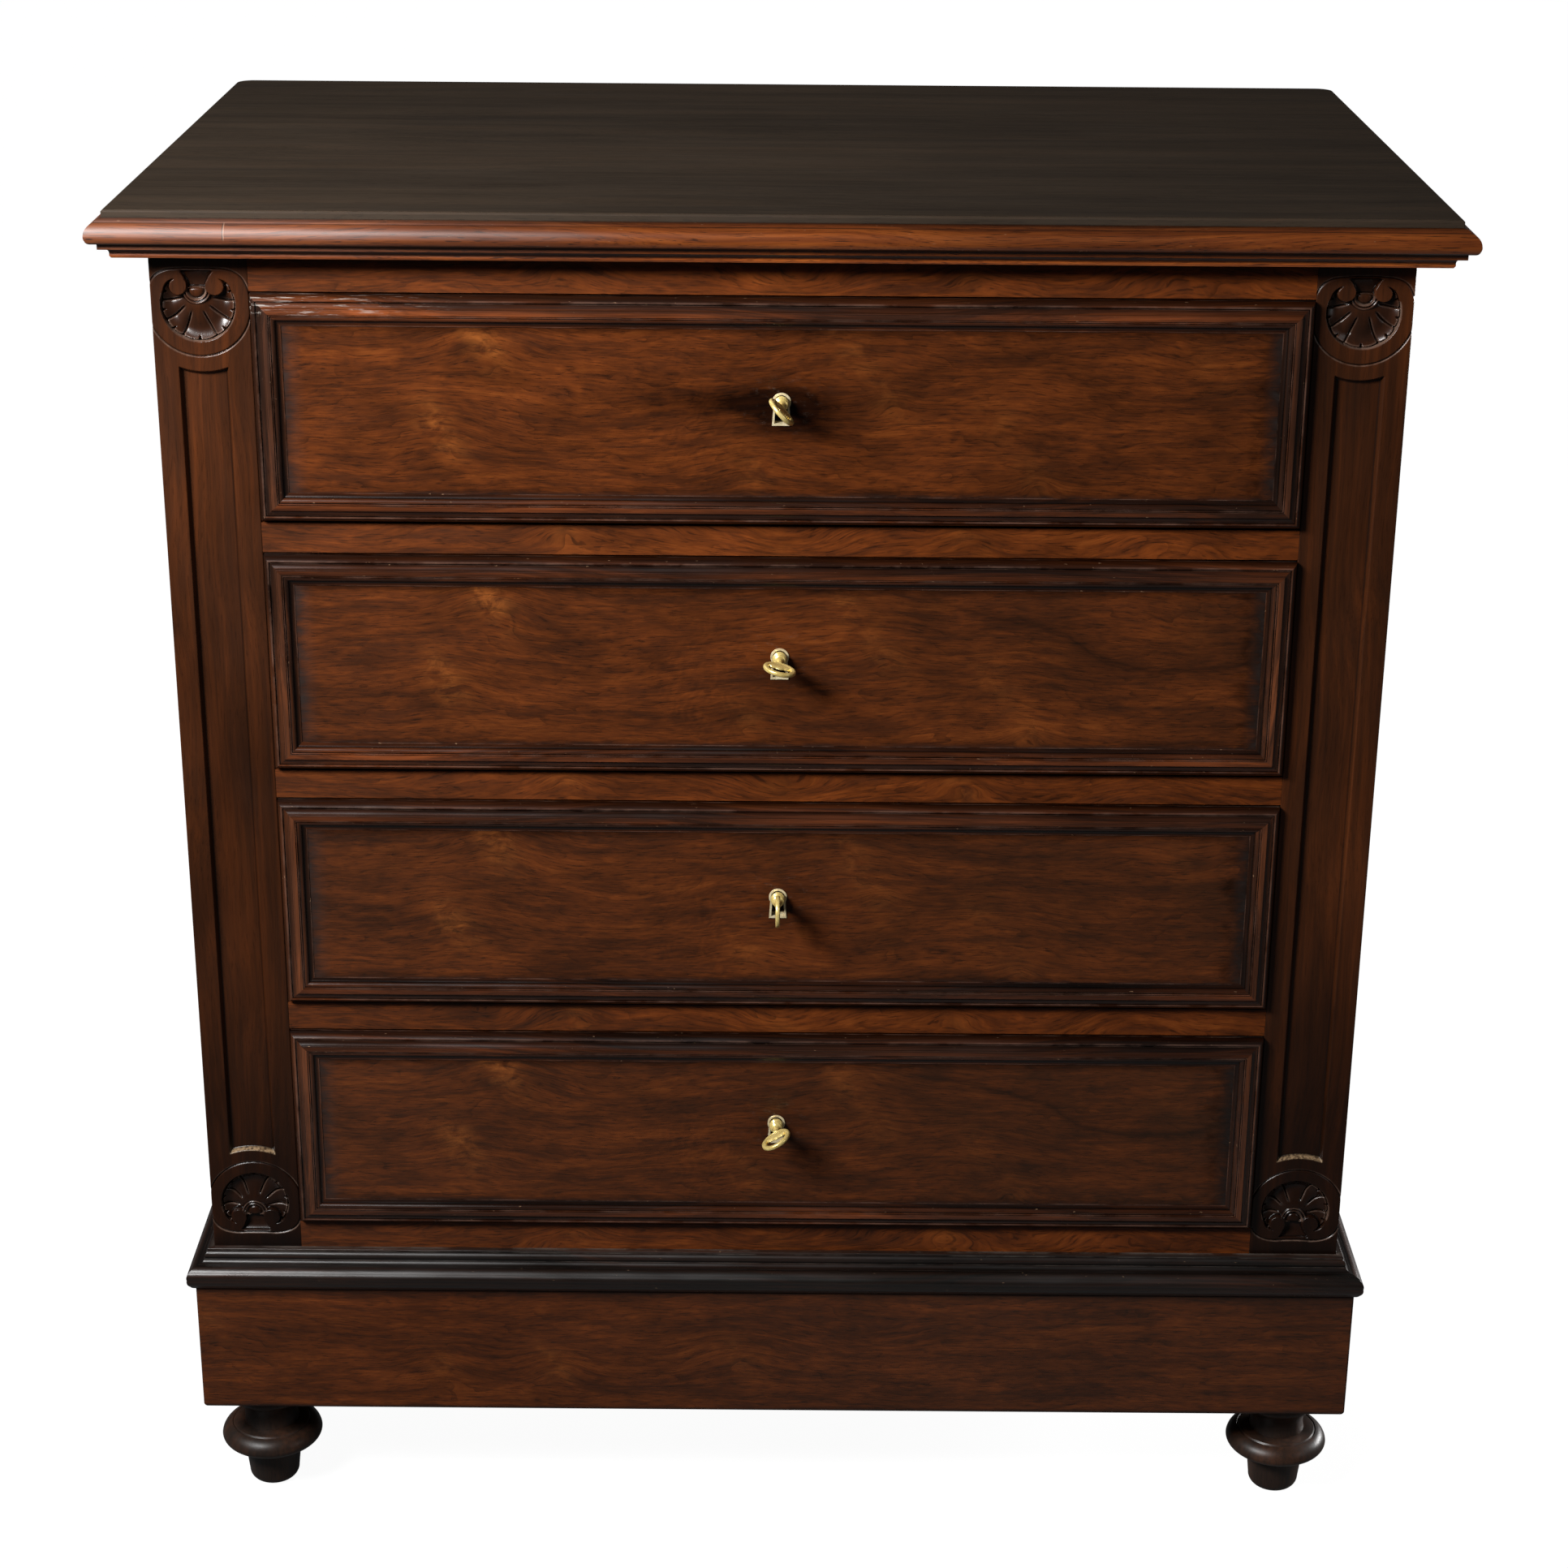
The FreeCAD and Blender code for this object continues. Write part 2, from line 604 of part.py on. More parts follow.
def bun_height(radius):
    """Height of the bun's upper surface at a radius, on an ellipse over its widest ring."""
    share = (radius - FOOT_THROAT_RADIUS) / (FOOT_BUN_RADIUS - FOOT_THROAT_RADIUS)
    return FOOT_HEIGHT - FOOT_BUN_DROP + FOOT_BUN_CROWN * math.sqrt(1 - share ** 2)


def foot_profile():
    """Outline of half a foot as (radius, height), tenon included."""
    widest = (FOOT_BUN_RADIUS, FOOT_HEIGHT - FOOT_BUN_DROP)
    neck = (FOOT_NECK_RADIUS, FOOT_HEIGHT - FOOT_NECK_DROP)
    skirt = (FOOT_BUN_RADIUS - FOOT_BUN_SKIRT, widest[1] - FOOT_BUN_SKIRT)
    base = (FOOT_BASE_RADIUS, FOOT_BASE_ROUNDING)
    floor = (FOOT_BASE_RADIUS - FOOT_BASE_ROUNDING, 0)
    outer_radius = FOOT_LINE_RADIUS + FOOT_LINE_DEPTH
    inner_radius = FOOT_LINE_RADIUS - FOOT_LINE_DEPTH
    line_outer = (outer_radius, bun_height(outer_radius))
    line_inner = (inner_radius, bun_height(inner_radius))
    line_floor = (FOOT_LINE_RADIUS, bun_height(FOOT_LINE_RADIUS) - FOOT_LINE_DEPTH)
    throat = (FOOT_THROAT_RADIUS, FOOT_HEIGHT - FOOT_BUN_DROP + FOOT_BUN_CROWN)
    collar_foot = (FOOT_COLLAR_RADIUS - FOOT_COLLAR_HEIGHT / 3, FOOT_HEIGHT - FOOT_COLLAR_HEIGHT)
    collar = (FOOT_COLLAR_RADIUS, FOOT_HEIGHT - FOOT_COLLAR_HEIGHT / 2)
    quarter_round = 1 - math.sqrt(0.5)
    return (
        (0, 0),
        floor,
        bulged(floor, base, -FOOT_BASE_ROUNDING * quarter_round),
        neck,
        bulged(neck, skirt, FOOT_BUN_SKIRT / 3),
        bulged(skirt, widest, -FOOT_BUN_SKIRT * quarter_round),
        bulged(widest, line_outer, -FOOT_BUN_CROWN / 6),
        line_floor,
        line_inner,
        bulged(line_inner, throat, -FOOT_LINE_DEPTH / 3),
        bulged(throat, collar_foot, FOOT_COLLAR_HEIGHT / 5),
        bulged(collar_foot, collar, -FOOT_COLLAR_HEIGHT / 7),
        (FOOT_COLLAR_RADIUS, FOOT_HEIGHT),
        (FOOT_TENON_RADIUS, FOOT_HEIGHT),
        (FOOT_TENON_RADIUS, FOOT_HEIGHT + FOOT_TENON_LENGTH),
        (0, FOOT_HEIGHT + FOOT_TENON_LENGTH),
    )


def make_foot(x, y):
    half = face(foot_profile(), lambda radius, height: vec(x + radius, y, height))
    return half.revolve(vec(x, y, 0), Z_AXIS, 360)


# Drawers: dovetailed boxes with a moulded frame round each front

def frame_section():
    """Frame moulding as (inward from the drawer's edge, out from the carcass face)."""
    thumb = (FRAME_THUMB_WIDTH, FRAME_THUMB_RISE)
    quirk = (FRAME_THUMB_WIDTH + FRAME_QUIRK, FRAME_THUMB_RISE - FRAME_QUIRK)
    hollow = (quirk[0] + FRAME_HOLLOW_WIDTH, FRAME_BEAD_RISE - FRAME_QUIRK)
    bead = (hollow[0] + FRAME_BEAD_WIDTH, FRAME_BEAD_RISE)
    ridge = (bead[0] + FRAME_RIDGE_WIDTH, FRAME_RIDGE_RISE - FRAME_QUIRK)
    step = (ridge[0], ridge[1] - FRAME_STEP)
    fillet = (step[0] + FRAME_FILLET_WIDTH, step[1])
    cove = (FRAME_WIDTH, FRAME_COVE_FOOT_RISE)
    edge = (0, FRAME_EDGE_RISE)
    ridge_peak = ((bead[0] + ridge[0]) / 2, FRAME_RIDGE_RISE)
    return (
        (0, 0),
        edge,
        bulged(edge, thumb, FRAME_THUMB_WIDTH / 4),
        quirk,
        bulged(quirk, hollow, -FRAME_QUIRK),
        bulged(hollow, bead, FRAME_QUIRK / 2),
        (ridge_peak, ridge),
        step,
        fillet,
        bulged(fillet, cove, -FRAME_FILLET_WIDTH),
        (FRAME_WIDTH, 0),
    )


def mitred_frame(section, half, low, high):
    """Four runs of a section round a front, mitred at its corners."""
    rise = max(point[1] for point in corners(section))
    depth = vec(0, rise, 0)
    wide = FRAME_WIDTH
    bottom = prism(section, lambda u, out: vec(-half, -out, low + u), vec(2 * half, 0, 0))
    bottom_keep = ((-half, low), (half, low), (half - wide, low + wide), (wide - half, low + wide))
    bottom = bottom.common(prism(bottom_keep, lambda x, z: vec(x, -rise, z), depth))
    top = bottom.mirror(vec(0, 0, (low + high) / 2), Z_AXIS)
    right = prism(section, lambda u, out: vec(half - u, -out, low), vec(0, 0, high - low))
    right_keep = ((half, low), (half, high), (half - wide, high - wide), (half - wide, low + wide))
    right = right.common(prism(right_keep, lambda x, z: vec(x, -rise, z), depth))
    return bottom, top, mirrored(right), right


def keyhole(radius, neck_half, foot_half, drop, key_z, y_from, y_to):
    """Solid the shape of a keyhole, from y_from to y_to."""
    shoulder = -math.sqrt(radius ** 2 - neck_half ** 2)
    steps = (
        (-foot_half, -drop),
        (-neck_half, shoulder),
        ((0, radius), (neck_half, shoulder)),
        (foot_half, -drop),
    )
    return prism(steps, lambda x, z: vec(x, y_from, key_z + z), vec(0, y_to - y_from, 0))


def hole_in_wood(key_z, y_from, y_to):
    return keyhole(KEYHOLE_RADIUS, KEYHOLE_NECK_HALF, KEYHOLE_FOOT_HALF, KEYHOLE_DROP, key_z, y_from, y_to)


def lining_block(key_z):
    wall = ESCUTCHEON_WALL
    sizes = (KEYHOLE_RADIUS + wall, KEYHOLE_NECK_HALF + wall, KEYHOLE_FOOT_HALF + wall, KEYHOLE_DROP + wall)
    return keyhole(*sizes, key_z, ESCUTCHEON_FACE, ESCUTCHEON_DEPTH - FRONT_FIELD_RISE)


def make_escutcheon(key_z):
    lining = lining_block(key_z)
    return lining.cut(hole_in_wood(key_z, ESCUTCHEON_FACE, ESCUTCHEON_DEPTH - FRONT_FIELD_RISE))


def case_pocket(key_z, top):
    """Room for the lock in the back and the top edge of a drawer front."""
    half = CASE_HALF + LOCK_FIT
    pocket = block(-half, half, CASE_FRONT - LOCK_FIT, FRONT_THICKNESS, key_z - CASE_DROP - LOCK_FIT, top)
    edge_half = CASE_HALF + LOCK_PLATE_MARGIN
    edge_front = FRONT_THICKNESS - SELVEDGE_DEPTH
    edge = block(-edge_half, edge_half, edge_front, FRONT_THICKNESS, top - LOCK_WALL, top)
    return pocket.fuse(edge)


def tail_blocks(foot, height, y_from, y_to, x_inner, x_outer, flare_sign):
    """Dovetails evenly spaced up a drawer side, wider at y_to when flare_sign is 1."""
    pitch = height / TAIL_COUNT
    tails = []
    for number in range(TAIL_COUNT):
        middle = foot + (number + 1 / 2) * pitch
        near = TAIL_NARROW / 2
        far = near + TAIL_FLARE
        if flare_sign < 0:
            near, far = far, near
        plan = ((y_from, middle - near), (y_to, middle - far), (y_to, middle + far), (y_from, middle + near))
        tails.append(prism(plan, lambda y, z: vec(x_inner, y, z), vec(x_outer - x_inner, 0, 0)))
    return tails


def front_tails(foot):
    """Tails of the right side that are let into the back of the drawer front."""
    inner = DRAWER_HALF - DRAWER_SIDE_THICKNESS
    y_from = FRONT_THICKNESS - TAIL_LENGTH
    return tail_blocks(foot, DRAWER_SIDE_HEIGHT, y_from, FRONT_THICKNESS, inner, DRAWER_HALF, -1)


def rear_tails(foot):
    """Tails of the right side that pass through the ends of the drawer back."""
    inner = DRAWER_HALF - DRAWER_SIDE_THICKNESS
    low = foot + DRAWER_BOTTOM_RAISE + DRAWER_BOTTOM_THICKNESS
    height = DRAWER_SIDE_HEIGHT - DRAWER_BOTTOM_RAISE - DRAWER_BOTTOM_THICKNESS - DRAWER_BACK_DROP
    return tail_blocks(low, height, DRAWER_END - DRAWER_SIDE_THICKNESS, DRAWER_END, inner, DRAWER_HALF, 1)


def bottom_panel(foot):
    half = DRAWER_HALF - DRAWER_SIDE_THICKNESS + DRAWER_GROOVE_DEPTH
    low = foot + DRAWER_BOTTOM_RAISE
    start = FRONT_THICKNESS - DRAWER_GROOVE_DEPTH
    return block(-half, half, start, DRAWER_END, low, low + DRAWER_BOTTOM_THICKNESS)


def make_drawer_side(foot):
    """Right side of a drawer box."""
    inner = DRAWER_HALF - DRAWER_SIDE_THICKNESS
    start = FRONT_THICKNESS
    end = DRAWER_END - DRAWER_SIDE_THICKNESS
    board = block(inner, DRAWER_HALF, start, end, foot, foot + DRAWER_SIDE_HEIGHT)
    under_back = foot + DRAWER_BOTTOM_RAISE + DRAWER_BOTTOM_THICKNESS
    heel = block(inner, DRAWER_HALF, end, DRAWER_END, foot, under_back)
    board = board.fuse([heel] + front_tails(foot) + rear_tails(foot)).removeSplitter()
    return board.cut(bottom_panel(foot))


def make_drawer_back(foot):
    low = foot + DRAWER_BOTTOM_RAISE + DRAWER_BOTTOM_THICKNESS
    high = foot + DRAWER_SIDE_HEIGHT - DRAWER_BACK_DROP
    board = block(-DRAWER_HALF, DRAWER_HALF, DRAWER_END - DRAWER_SIDE_THICKNESS, DRAWER_END, low, high)
    for tail in both_sides(rear_tails(foot)):
        board = board.cut(tail)
    return board


def make_drawer_front(low, high, foot, key_z):
    """Front board with its raised field, cut for the tails, the bottom and the lock."""
    board = block(-DRAWER_HALF, DRAWER_HALF, 0, FRONT_THICKNESS, low, high)
    field = block(-FIELD_HALF, FIELD_HALF, -FRONT_FIELD_RISE, 0, low + FRAME_WIDTH, high - FRAME_WIDTH)
    board = board.fuse(field).removeSplitter()
    for tail in both_sides(front_tails(foot)):
        board = board.cut(tail)
    board = board.cut(bottom_panel(foot))
    board = board.cut(case_pocket(key_z, high))
    board = board.cut(lining_block(key_z))
    return board.cut(hole_in_wood(key_z, -FRONT_FIELD_RISE, FRONT_THICKNESS))


# Locks

def make_lock(key_z, top):
    """Case, back plate and top edge plate of a lock that throws its bolt upwards."""
    foot = key_z - CASE_DROP
    case = block(-CASE_HALF, CASE_HALF, CASE_FRONT, FRONT_THICKNESS, foot, top)
    plate_half = CASE_HALF + LOCK_PLATE_MARGIN
    plate_back = FRONT_THICKNESS + LOCK_WALL
    plate = block(-plate_half, plate_half, FRONT_THICKNESS, plate_back, foot - LOCK_PLATE_MARGIN, top)
    edge_front = FRONT_THICKNESS - SELVEDGE_DEPTH
    edge = block(-plate_half, plate_half, edge_front, FRONT_THICKNESS, top - LOCK_WALL, top)
    lock = case.fuse([plate, edge]).removeSplitter()
    cavity = block(-CAVITY_HALF, CAVITY_HALF, CAVITY_FRONT, FRONT_THICKNESS, foot + LOCK_WALL, top)
    lock = lock.cut(cavity)
    slot = KEY_BIT_THICKNESS
    hole_radius = KEY_SHANK_RADIUS + KEY_BIT_CLEARANCE
    lock = lock.cut(keyhole(hole_radius, slot, slot, WINDOW_HALF, key_z, CASE_FRONT, CAVITY_FRONT))
    pin_hole = KEY_PIN_RADIUS + KEY_PIN_CLEARANCE
    return lock.cut(Part.makeCylinder(pin_hole, LOCK_WALL, vec(0, FRONT_THICKNESS, key_z), Y_AXIS))


def make_bolt(key_z, top):
    """Bolt with a thick head and a thin tail, whose window leaves room for the key's bit."""
    half = BOLT_WIDTH / 2
    head_top = top - BOLT_SINK
    head_foot = head_top - BOLT_HEAD_HEIGHT
    head = block(-half, half, BOLT_FRONT, BOLT_FRONT + BOLT_THICKNESS, head_foot, head_top)
    tail = block(-half, half, BOLT_FRONT, BOLT_FRONT + BOLT_TAIL_THICKNESS, key_z - BOLT_DROP, head_foot)
    window_foot = key_z - WINDOW_HALF - BOLT_THROW
    window_back = BOLT_FRONT + BOLT_TAIL_THICKNESS
    window = block(-WINDOW_HALF, WINDOW_HALF, BOLT_FRONT, window_back, window_foot, key_z + WINDOW_HALF)
    return head.fuse(tail).removeSplitter().cut(window)


# Keys

def key_stem():
    """Pin, shank and ringed collar, turned about the key's own axis."""
    bit_back = FRONT_THICKNESS - KEY_BIT_CLEARANCE
    pin_end = FRONT_THICKNESS + LOCK_WALL
    steps = [
        (0, pin_end),
        (KEY_PIN_RADIUS, pin_end),
        (KEY_PIN_RADIUS, bit_back),
        (KEY_SHANK_RADIUS, bit_back),
        (KEY_SHANK_RADIUS, COLLAR_BACK),
        (KEY_COLLAR_WAIST, COLLAR_BACK),
    ]
    here = COLLAR_BACK
    for ring in range(KEY_COLLAR_RINGS):
        end = here - KEY_COLLAR_RING
        steps.append(((KEY_COLLAR_RADIUS, (here + end) / 2), (KEY_COLLAR_WAIST, end)))
        here = end
    steps.append((KEY_SHANK_RADIUS, here))
    steps.append((KEY_SHANK_RADIUS, BOW_CENTRE + BOW_OPENING_RADIUS))
    steps.append((0, BOW_CENTRE + BOW_OPENING_RADIUS))
    return spin_profile(steps, 0, 0)


def key_bit():
    back = FRONT_THICKNESS - KEY_BIT_CLEARANCE
    front = back - KEY_BIT_LENGTH
    half = KEY_BIT_THICKNESS / 2
    bit = block(-half, half, front, back, -KEY_BIT_RADIUS, 0)
    ward_front = front + KEY_BIT_LENGTH / 3
    ward_back = back - KEY_BIT_LENGTH / 3
    ward = block(-half, half, ward_front, ward_back, -KEY_BIT_RADIUS, KEY_WARD_DEPTH - KEY_BIT_RADIUS)
    return bit.cut(ward)


def key_bow():
    """Flat ring with a kidney-shaped opening; it lies in the plane of the bit."""
    half = BOW_THICKNESS / 2
    ring = Part.makeCylinder(BOW_RADIUS, BOW_THICKNESS, vec(-half, BOW_CENTRE, 0), X_AXIS)
    opening = Part.makeCylinder(BOW_OPENING_RADIUS, BOW_THICKNESS, vec(-half, BOW_CENTRE, 0), X_AXIS)
    cusp_y = BOW_CENTRE + BOW_OPENING_RADIUS
    cusp = Part.makeCylinder(BOW_CUSP_RADIUS, BOW_THICKNESS, vec(-half, cusp_y, 0), X_AXIS)
    ring = ring.makeChamfer(BOW_EASE, ring.Edges)
    return ring.cut(opening.cut(cusp))


def make_key(key_z, turn):
    key = key_stem().fuse([key_bit(), key_bow()]).removeSplitter()
    key.rotate(ORIGIN, Y_AXIS, turn)
    key.translate(vec(0, 0, key_z))
    return key


# The whole chest, node by node

def export_carcass():
    side = make_side()
    pilaster = make_pilaster()
    export("top_board", make_top_board())
    export("cornice_torus", *mitred_surround(torus_section()))
    export("cornice_cove", *mitred_surround(cove_section()))
    export("side_left", mirrored(side))
    export("side_right", side)
    export("pilaster_left", mirrored(pilaster))
    export("pilaster_right", pilaster)
    export("top_rail", make_rail(OPENING_TOP, CARCASS_TOP, True))
    for number in range(1, DRAWER_COUNT):
        top = opening_foot(number)
        export("drawer_rail_%d" % number, make_rail(top - RAIL_HEIGHT, top, True))
    export("bottom_rail", make_rail(PLINTH_TOP, opening_foot(DRAWER_COUNT), False))
    export("back_boards", *make_back_boards())
    export("bottom_board", make_bottom_board())
    export("drawer_runners", *make_runners())
    export("drawer_guides", *make_guides())
    export("drawer_stops", *make_stops())


def export_base():
    export("plinth", *make_plinth())
    export("plinth_moulding", *mitred_surround(plinth_moulding_section()))
    export("corner_blocks", *make_corner_blocks())
    for name, x, y in foot_places():
        export("foot_" + name, make_foot(x, y))


def export_drawer(number):
    node = "drawer_%d_" % number
    opening = opening_foot(number)
    low = opening + DRAWER_FOOT_GAP
    high = opening + OPENING_HEIGHT - DRAWER_TOP_GAP
    foot = opening + DRAWER_RUN_GAP
    key_z = (low + high) / 2 + KEY_RISE
    side = make_drawer_side(foot)
    export(node + "front", make_drawer_front(low, high, foot, key_z))
    export(node + "frame", *mitred_frame(frame_section(), DRAWER_HALF, low, high))
    export(node + "sides", mirrored(side), side)
    export(node + "back", make_drawer_back(foot))
    export(node + "bottom", bottom_panel(foot))
    export(node + "escutcheon", make_escutcheon(key_z))
    export(node + "lock", make_lock(key_z, high))
    export(node + "bolt", make_bolt(key_z, high))
    export(node + "key", make_key(key_z, KEY_REST_TURNS[number - 1]))


export_carcass()
export_base()
for drawer_number in range(1, DRAWER_COUNT + 1):
    export_drawer(drawer_number)
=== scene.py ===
import bpy
import bmesh
import math
import numpy as np
from mathutils import Matrix, Vector


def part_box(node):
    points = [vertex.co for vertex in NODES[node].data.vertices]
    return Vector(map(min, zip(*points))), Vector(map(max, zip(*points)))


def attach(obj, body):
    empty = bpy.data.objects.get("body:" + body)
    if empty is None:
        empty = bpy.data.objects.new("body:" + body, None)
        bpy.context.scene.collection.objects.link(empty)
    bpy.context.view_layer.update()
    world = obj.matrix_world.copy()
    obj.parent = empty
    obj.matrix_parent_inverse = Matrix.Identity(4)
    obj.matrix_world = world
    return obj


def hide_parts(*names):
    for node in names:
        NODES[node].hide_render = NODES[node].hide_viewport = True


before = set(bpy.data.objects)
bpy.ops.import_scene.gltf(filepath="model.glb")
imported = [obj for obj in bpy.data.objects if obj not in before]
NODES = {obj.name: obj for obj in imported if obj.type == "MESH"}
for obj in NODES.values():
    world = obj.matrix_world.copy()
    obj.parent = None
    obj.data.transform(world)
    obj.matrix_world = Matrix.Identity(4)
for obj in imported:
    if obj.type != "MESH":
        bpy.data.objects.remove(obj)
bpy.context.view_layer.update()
DRAWERS = (1, 2, 3, 4)
MM = 0.001

# The camera of the photograph, in metres and degrees. Its place is measured from the middle of
# the carcass face at the plinth's foot.
FACE_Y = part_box("top_rail")[0][1]
PLINTH_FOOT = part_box("plinth")[0][2]
CAMERA_PLACE = Vector((0.00309, FACE_Y - 2.14226, PLINTH_FOOT + 1.3731))
CAMERA_PITCH = 21.415
CAMERA_YAW = -0.021
CAMERA_ROLL = 0.456
SENSOR = 36.0
LENS = 71.545

# Sizes that the pieces share with the solids that they stand for, in millimetres.
# Out is measured forwards from the carcass face, up from the floor.
HALF_WIDTH = 440.0
CARCASS_DEPTH = 546.0
PLINTH_HALF = 453.0
PLINTH_HEIGHT = 110.0
PLINTH_TOP = 200.0
MOULDING_TOP = 230.4
CARCASS_TOP = 1026.5
BACK_BOARD_HEIGHT = (CARCASS_TOP - PLINTH_TOP) / 5
SOFFIT = 1015.0
TOP_SURFACE = 1049.0
TOP_LIP = 5.5
HALF_OPENING = 371.5
OPENING_HEIGHT = 167.4
PITCH = 189.4
OPENING_TOP = 988.0
DRAWER_HALF = 370.8
DRAWER_TOP_GAP = 1.2
DRAWER_FOOT_GAP = 1.6
FRAME_FOOT_RISE = 1.0
FRAME_WIDTH = 20.5
FIELD_HALF = DRAWER_HALF - FRAME_WIDTH
FIELD_TOP = DRAWER_TOP_GAP + FRAME_WIDTH
FIELD_HEIGHT = OPENING_HEIGHT - FIELD_TOP - DRAWER_FOOT_GAP - FRAME_WIDTH
KEY_RISE = 9.0
KEYHOLE_DOWN = FIELD_HEIGHT / 2 - KEY_RISE
PILASTER_WIDTH = 68.5
PILASTER_THICKNESS = 30.0
MEDALLION_INSET = 37.5


def spot(x, out, up):
    """A point of the frame from millimetres: to the right, forwards from the carcass face, up."""
    return (x * MM, FACE_Y - out * MM, up * MM)


def opening_foot(number):
    return OPENING_TOP - (number - 1) * PITCH - OPENING_HEIGHT


# Node trees

def by_math(operation, swapped=False):
    """A method of a wire that adds one Math node."""
    def method(self, *others):
        return self.graph.math(operation, *((*others, self) if swapped else (self, *others)))

    return method


class Wire:
    """An output of a node. Arithmetic on it adds Math nodes to its tree."""

    def __init__(self, graph, socket):
        self.graph = graph
        self.socket = socket

    __add__ = __radd__ = by_math("ADD")
    __sub__ = by_math("SUBTRACT")
    __rsub__ = by_math("SUBTRACT", swapped=True)
    __mul__ = __rmul__ = by_math("MULTIPLY")
    __truediv__ = by_math("DIVIDE")
    __mod__ = by_math("MODULO")
    __pow__ = by_math("POWER")
    __abs__ = by_math("ABSOLUTE")


class Graph:
    """A node tree with one short call for each kind of node."""

    def __init__(self, tree):
        self.tree = tree
        tree.nodes.clear()

    def node(self, kind, **settings):
        made = self.tree.nodes.new("ShaderNode" + kind)
        for key, value in settings.items():
            setattr(made, key, value)
        return made

    def plug(self, value, socket):
        """Link a wire to an input, or set the input itself."""
        if isinstance(value, Wire):
            self.tree.links.new(value.socket, socket)
        else:
            socket.default_value = value

    def run(self, kind, inputs, output=0, **settings):
        """Add a node, fill its inputs by name or number, and return the wire of one output."""
        made = self.node(kind, **settings)
        for key, value in inputs.items() if isinstance(inputs, dict) else enumerate(inputs):
            self.plug(value, made.inputs[key])
        return Wire(self, made.outputs[output])

    def finish(self, kind, surface):
        self.plug(surface, self.node(kind).inputs["Surface"])

    def math(self, operation, *values, clamp=False):
        return self.run("Math", values, operation=operation, use_clamp=clamp)

    def place(self):
        return self.run("TexCoord", (), "Object")

    def split(self, vector):
        made = self.node("SeparateXYZ")
        self.plug(vector, made.inputs[0])
        return tuple(Wire(self, output) for output in made.outputs)

    def place_mm(self):
        """Object coordinates in millimetres: to the right, to the back, up."""
        return tuple(axis / MM for axis in self.split(self.place()))

    def join(self, x, y, z):
        return self.run("CombineXYZ", (x, y, z))

    def stretch(self, vector, scale, shift=(0, 0, 0)):
        return self.run("Mapping", {"Vector": vector, "Scale": scale, "Location": shift})

    def noise(self, vector, scale=1.0, detail=4.0, rough=0.5, distortion=0.0):
        inputs = {"Vector": vector, "Scale": scale, "Detail": detail, "Roughness": rough}
        return self.run("TexNoise", {**inputs, "Distortion": distortion})

    def grain(self, places, scales, **settings):
        """Noise over three places, each times its own scale."""
        return self.noise(self.join(*(p * scale for p, scale in zip(places, scales))), **settings)

    def span(self, value, low, high, to_low=0.0, to_high=1.0, smooth=False):
        kind = "SMOOTHSTEP" if smooth else "LINEAR"
        return self.run("MapRange", (value, low, high, to_low, to_high), interpolation_type=kind)

    def ramp(self, value, stops):
        made = self.node("ValToRGB")
        self.plug(value, made.inputs[0])
        elements = made.color_ramp.elements
        while len(elements) < len(stops):
            elements.new(0.5)
        for element, (position, colour) in zip(elements, stops):
            element.position = position
            element.color = (*colour, 1.0)
        return Wire(self, made.outputs[0])

    def blend(self, share, a, b, mode="MIX"):
        a, b = (colour if isinstance(colour, Wire) else (*colour, 1.0) for colour in (a, b))
        return self.run("Mix", {0: share, 6: a, 7: b}, 2, data_type="RGBA", blend_type=mode)

    def shade(self, colour, share):
        """The colour times a share that varies over the surface."""
        return self.blend(1.0, colour, self.join(share, share, share), "MULTIPLY")

    def bump(self, height, depth, normal=None):
        inputs = {"Strength": 1.0, "Distance": depth, "Height": height}
        if normal is not None:
            inputs["Normal"] = normal
        return self.run("Bump", inputs)

    def told(self, name):
        """A number stored on the points of a mesh, 0 where the mesh has none."""
        return self.run("Attribute", (), "Fac", attribute_name=name)

    def hill(self, x, y, centre_x, centre_y, wide, high):
        """1 at a centre, falling off smoothly to 0 on an ellipse's scale."""
        across = (x - centre_x) / wide
        along = (y - centre_y) / high
        return self.math("EXPONENT", (across * across + along * along) * -1.0)


def new_material(name):
    material = bpy.data.materials.new(name)
    material.use_nodes = True
    return material, Graph(material.node_tree)


def finish_material(g, colour, roughness, normal, metallic=0.0, specular=0.5):
    """Close a material's tree with its shader."""
    shader = {"Base Color": colour, "Roughness": roughness, "Normal": normal,
              "Metallic": metallic, "Specular IOR Level": specular}
    g.finish("OutputMaterial", g.run("BsdfPrincipled", shader))


# Wood

# Colours, linear
BLACK_POLISH = (0.005, 0.0038, 0.0030)
EBONY = (0.012, 0.0052, 0.0032)
UMBER = (0.030, 0.0085, 0.0030)
BROWN = (0.060, 0.0140, 0.0028)
RUSSET = (0.105, 0.0235, 0.0036)
AMBER = (0.185, 0.0470, 0.0075)
EMBER = (0.300, 0.0850, 0.0150)
# Bare wood, also painted highlight at the foot of the pilasters' panels
HONEY = (0.25, 0.165, 0.090)
# Pale of rubbed arrises, also painted highlight on the carving
RUBBED_AND_HIGHLIT = (0.15, 0.095, 0.070)
WAX = (0.024, 0.0195, 0.0180)
# Painted shade, dark and grey, for the lower right of the drawer fronts
FALLOFF_SHADE = (0.021, 0.0125, 0.0080)
# Pale dust, also used as painted sheen toward the left of the fronts and rails
DUST_AND_SHEEN = (0.026, 0.025, 0.021)
SCUFF = (0.42, 0.38, 0.34)
SCRATCH = (0.24, 0.20, 0.17)
WORN = (0.30, 0.18, 0.10)
WORN_BLACK = (0.12, 0.10, 0.085)
WORN_FRAME = (0.13, 0.070, 0.050)
JOINT_PALE = (0.5, 0.32, 0.22)
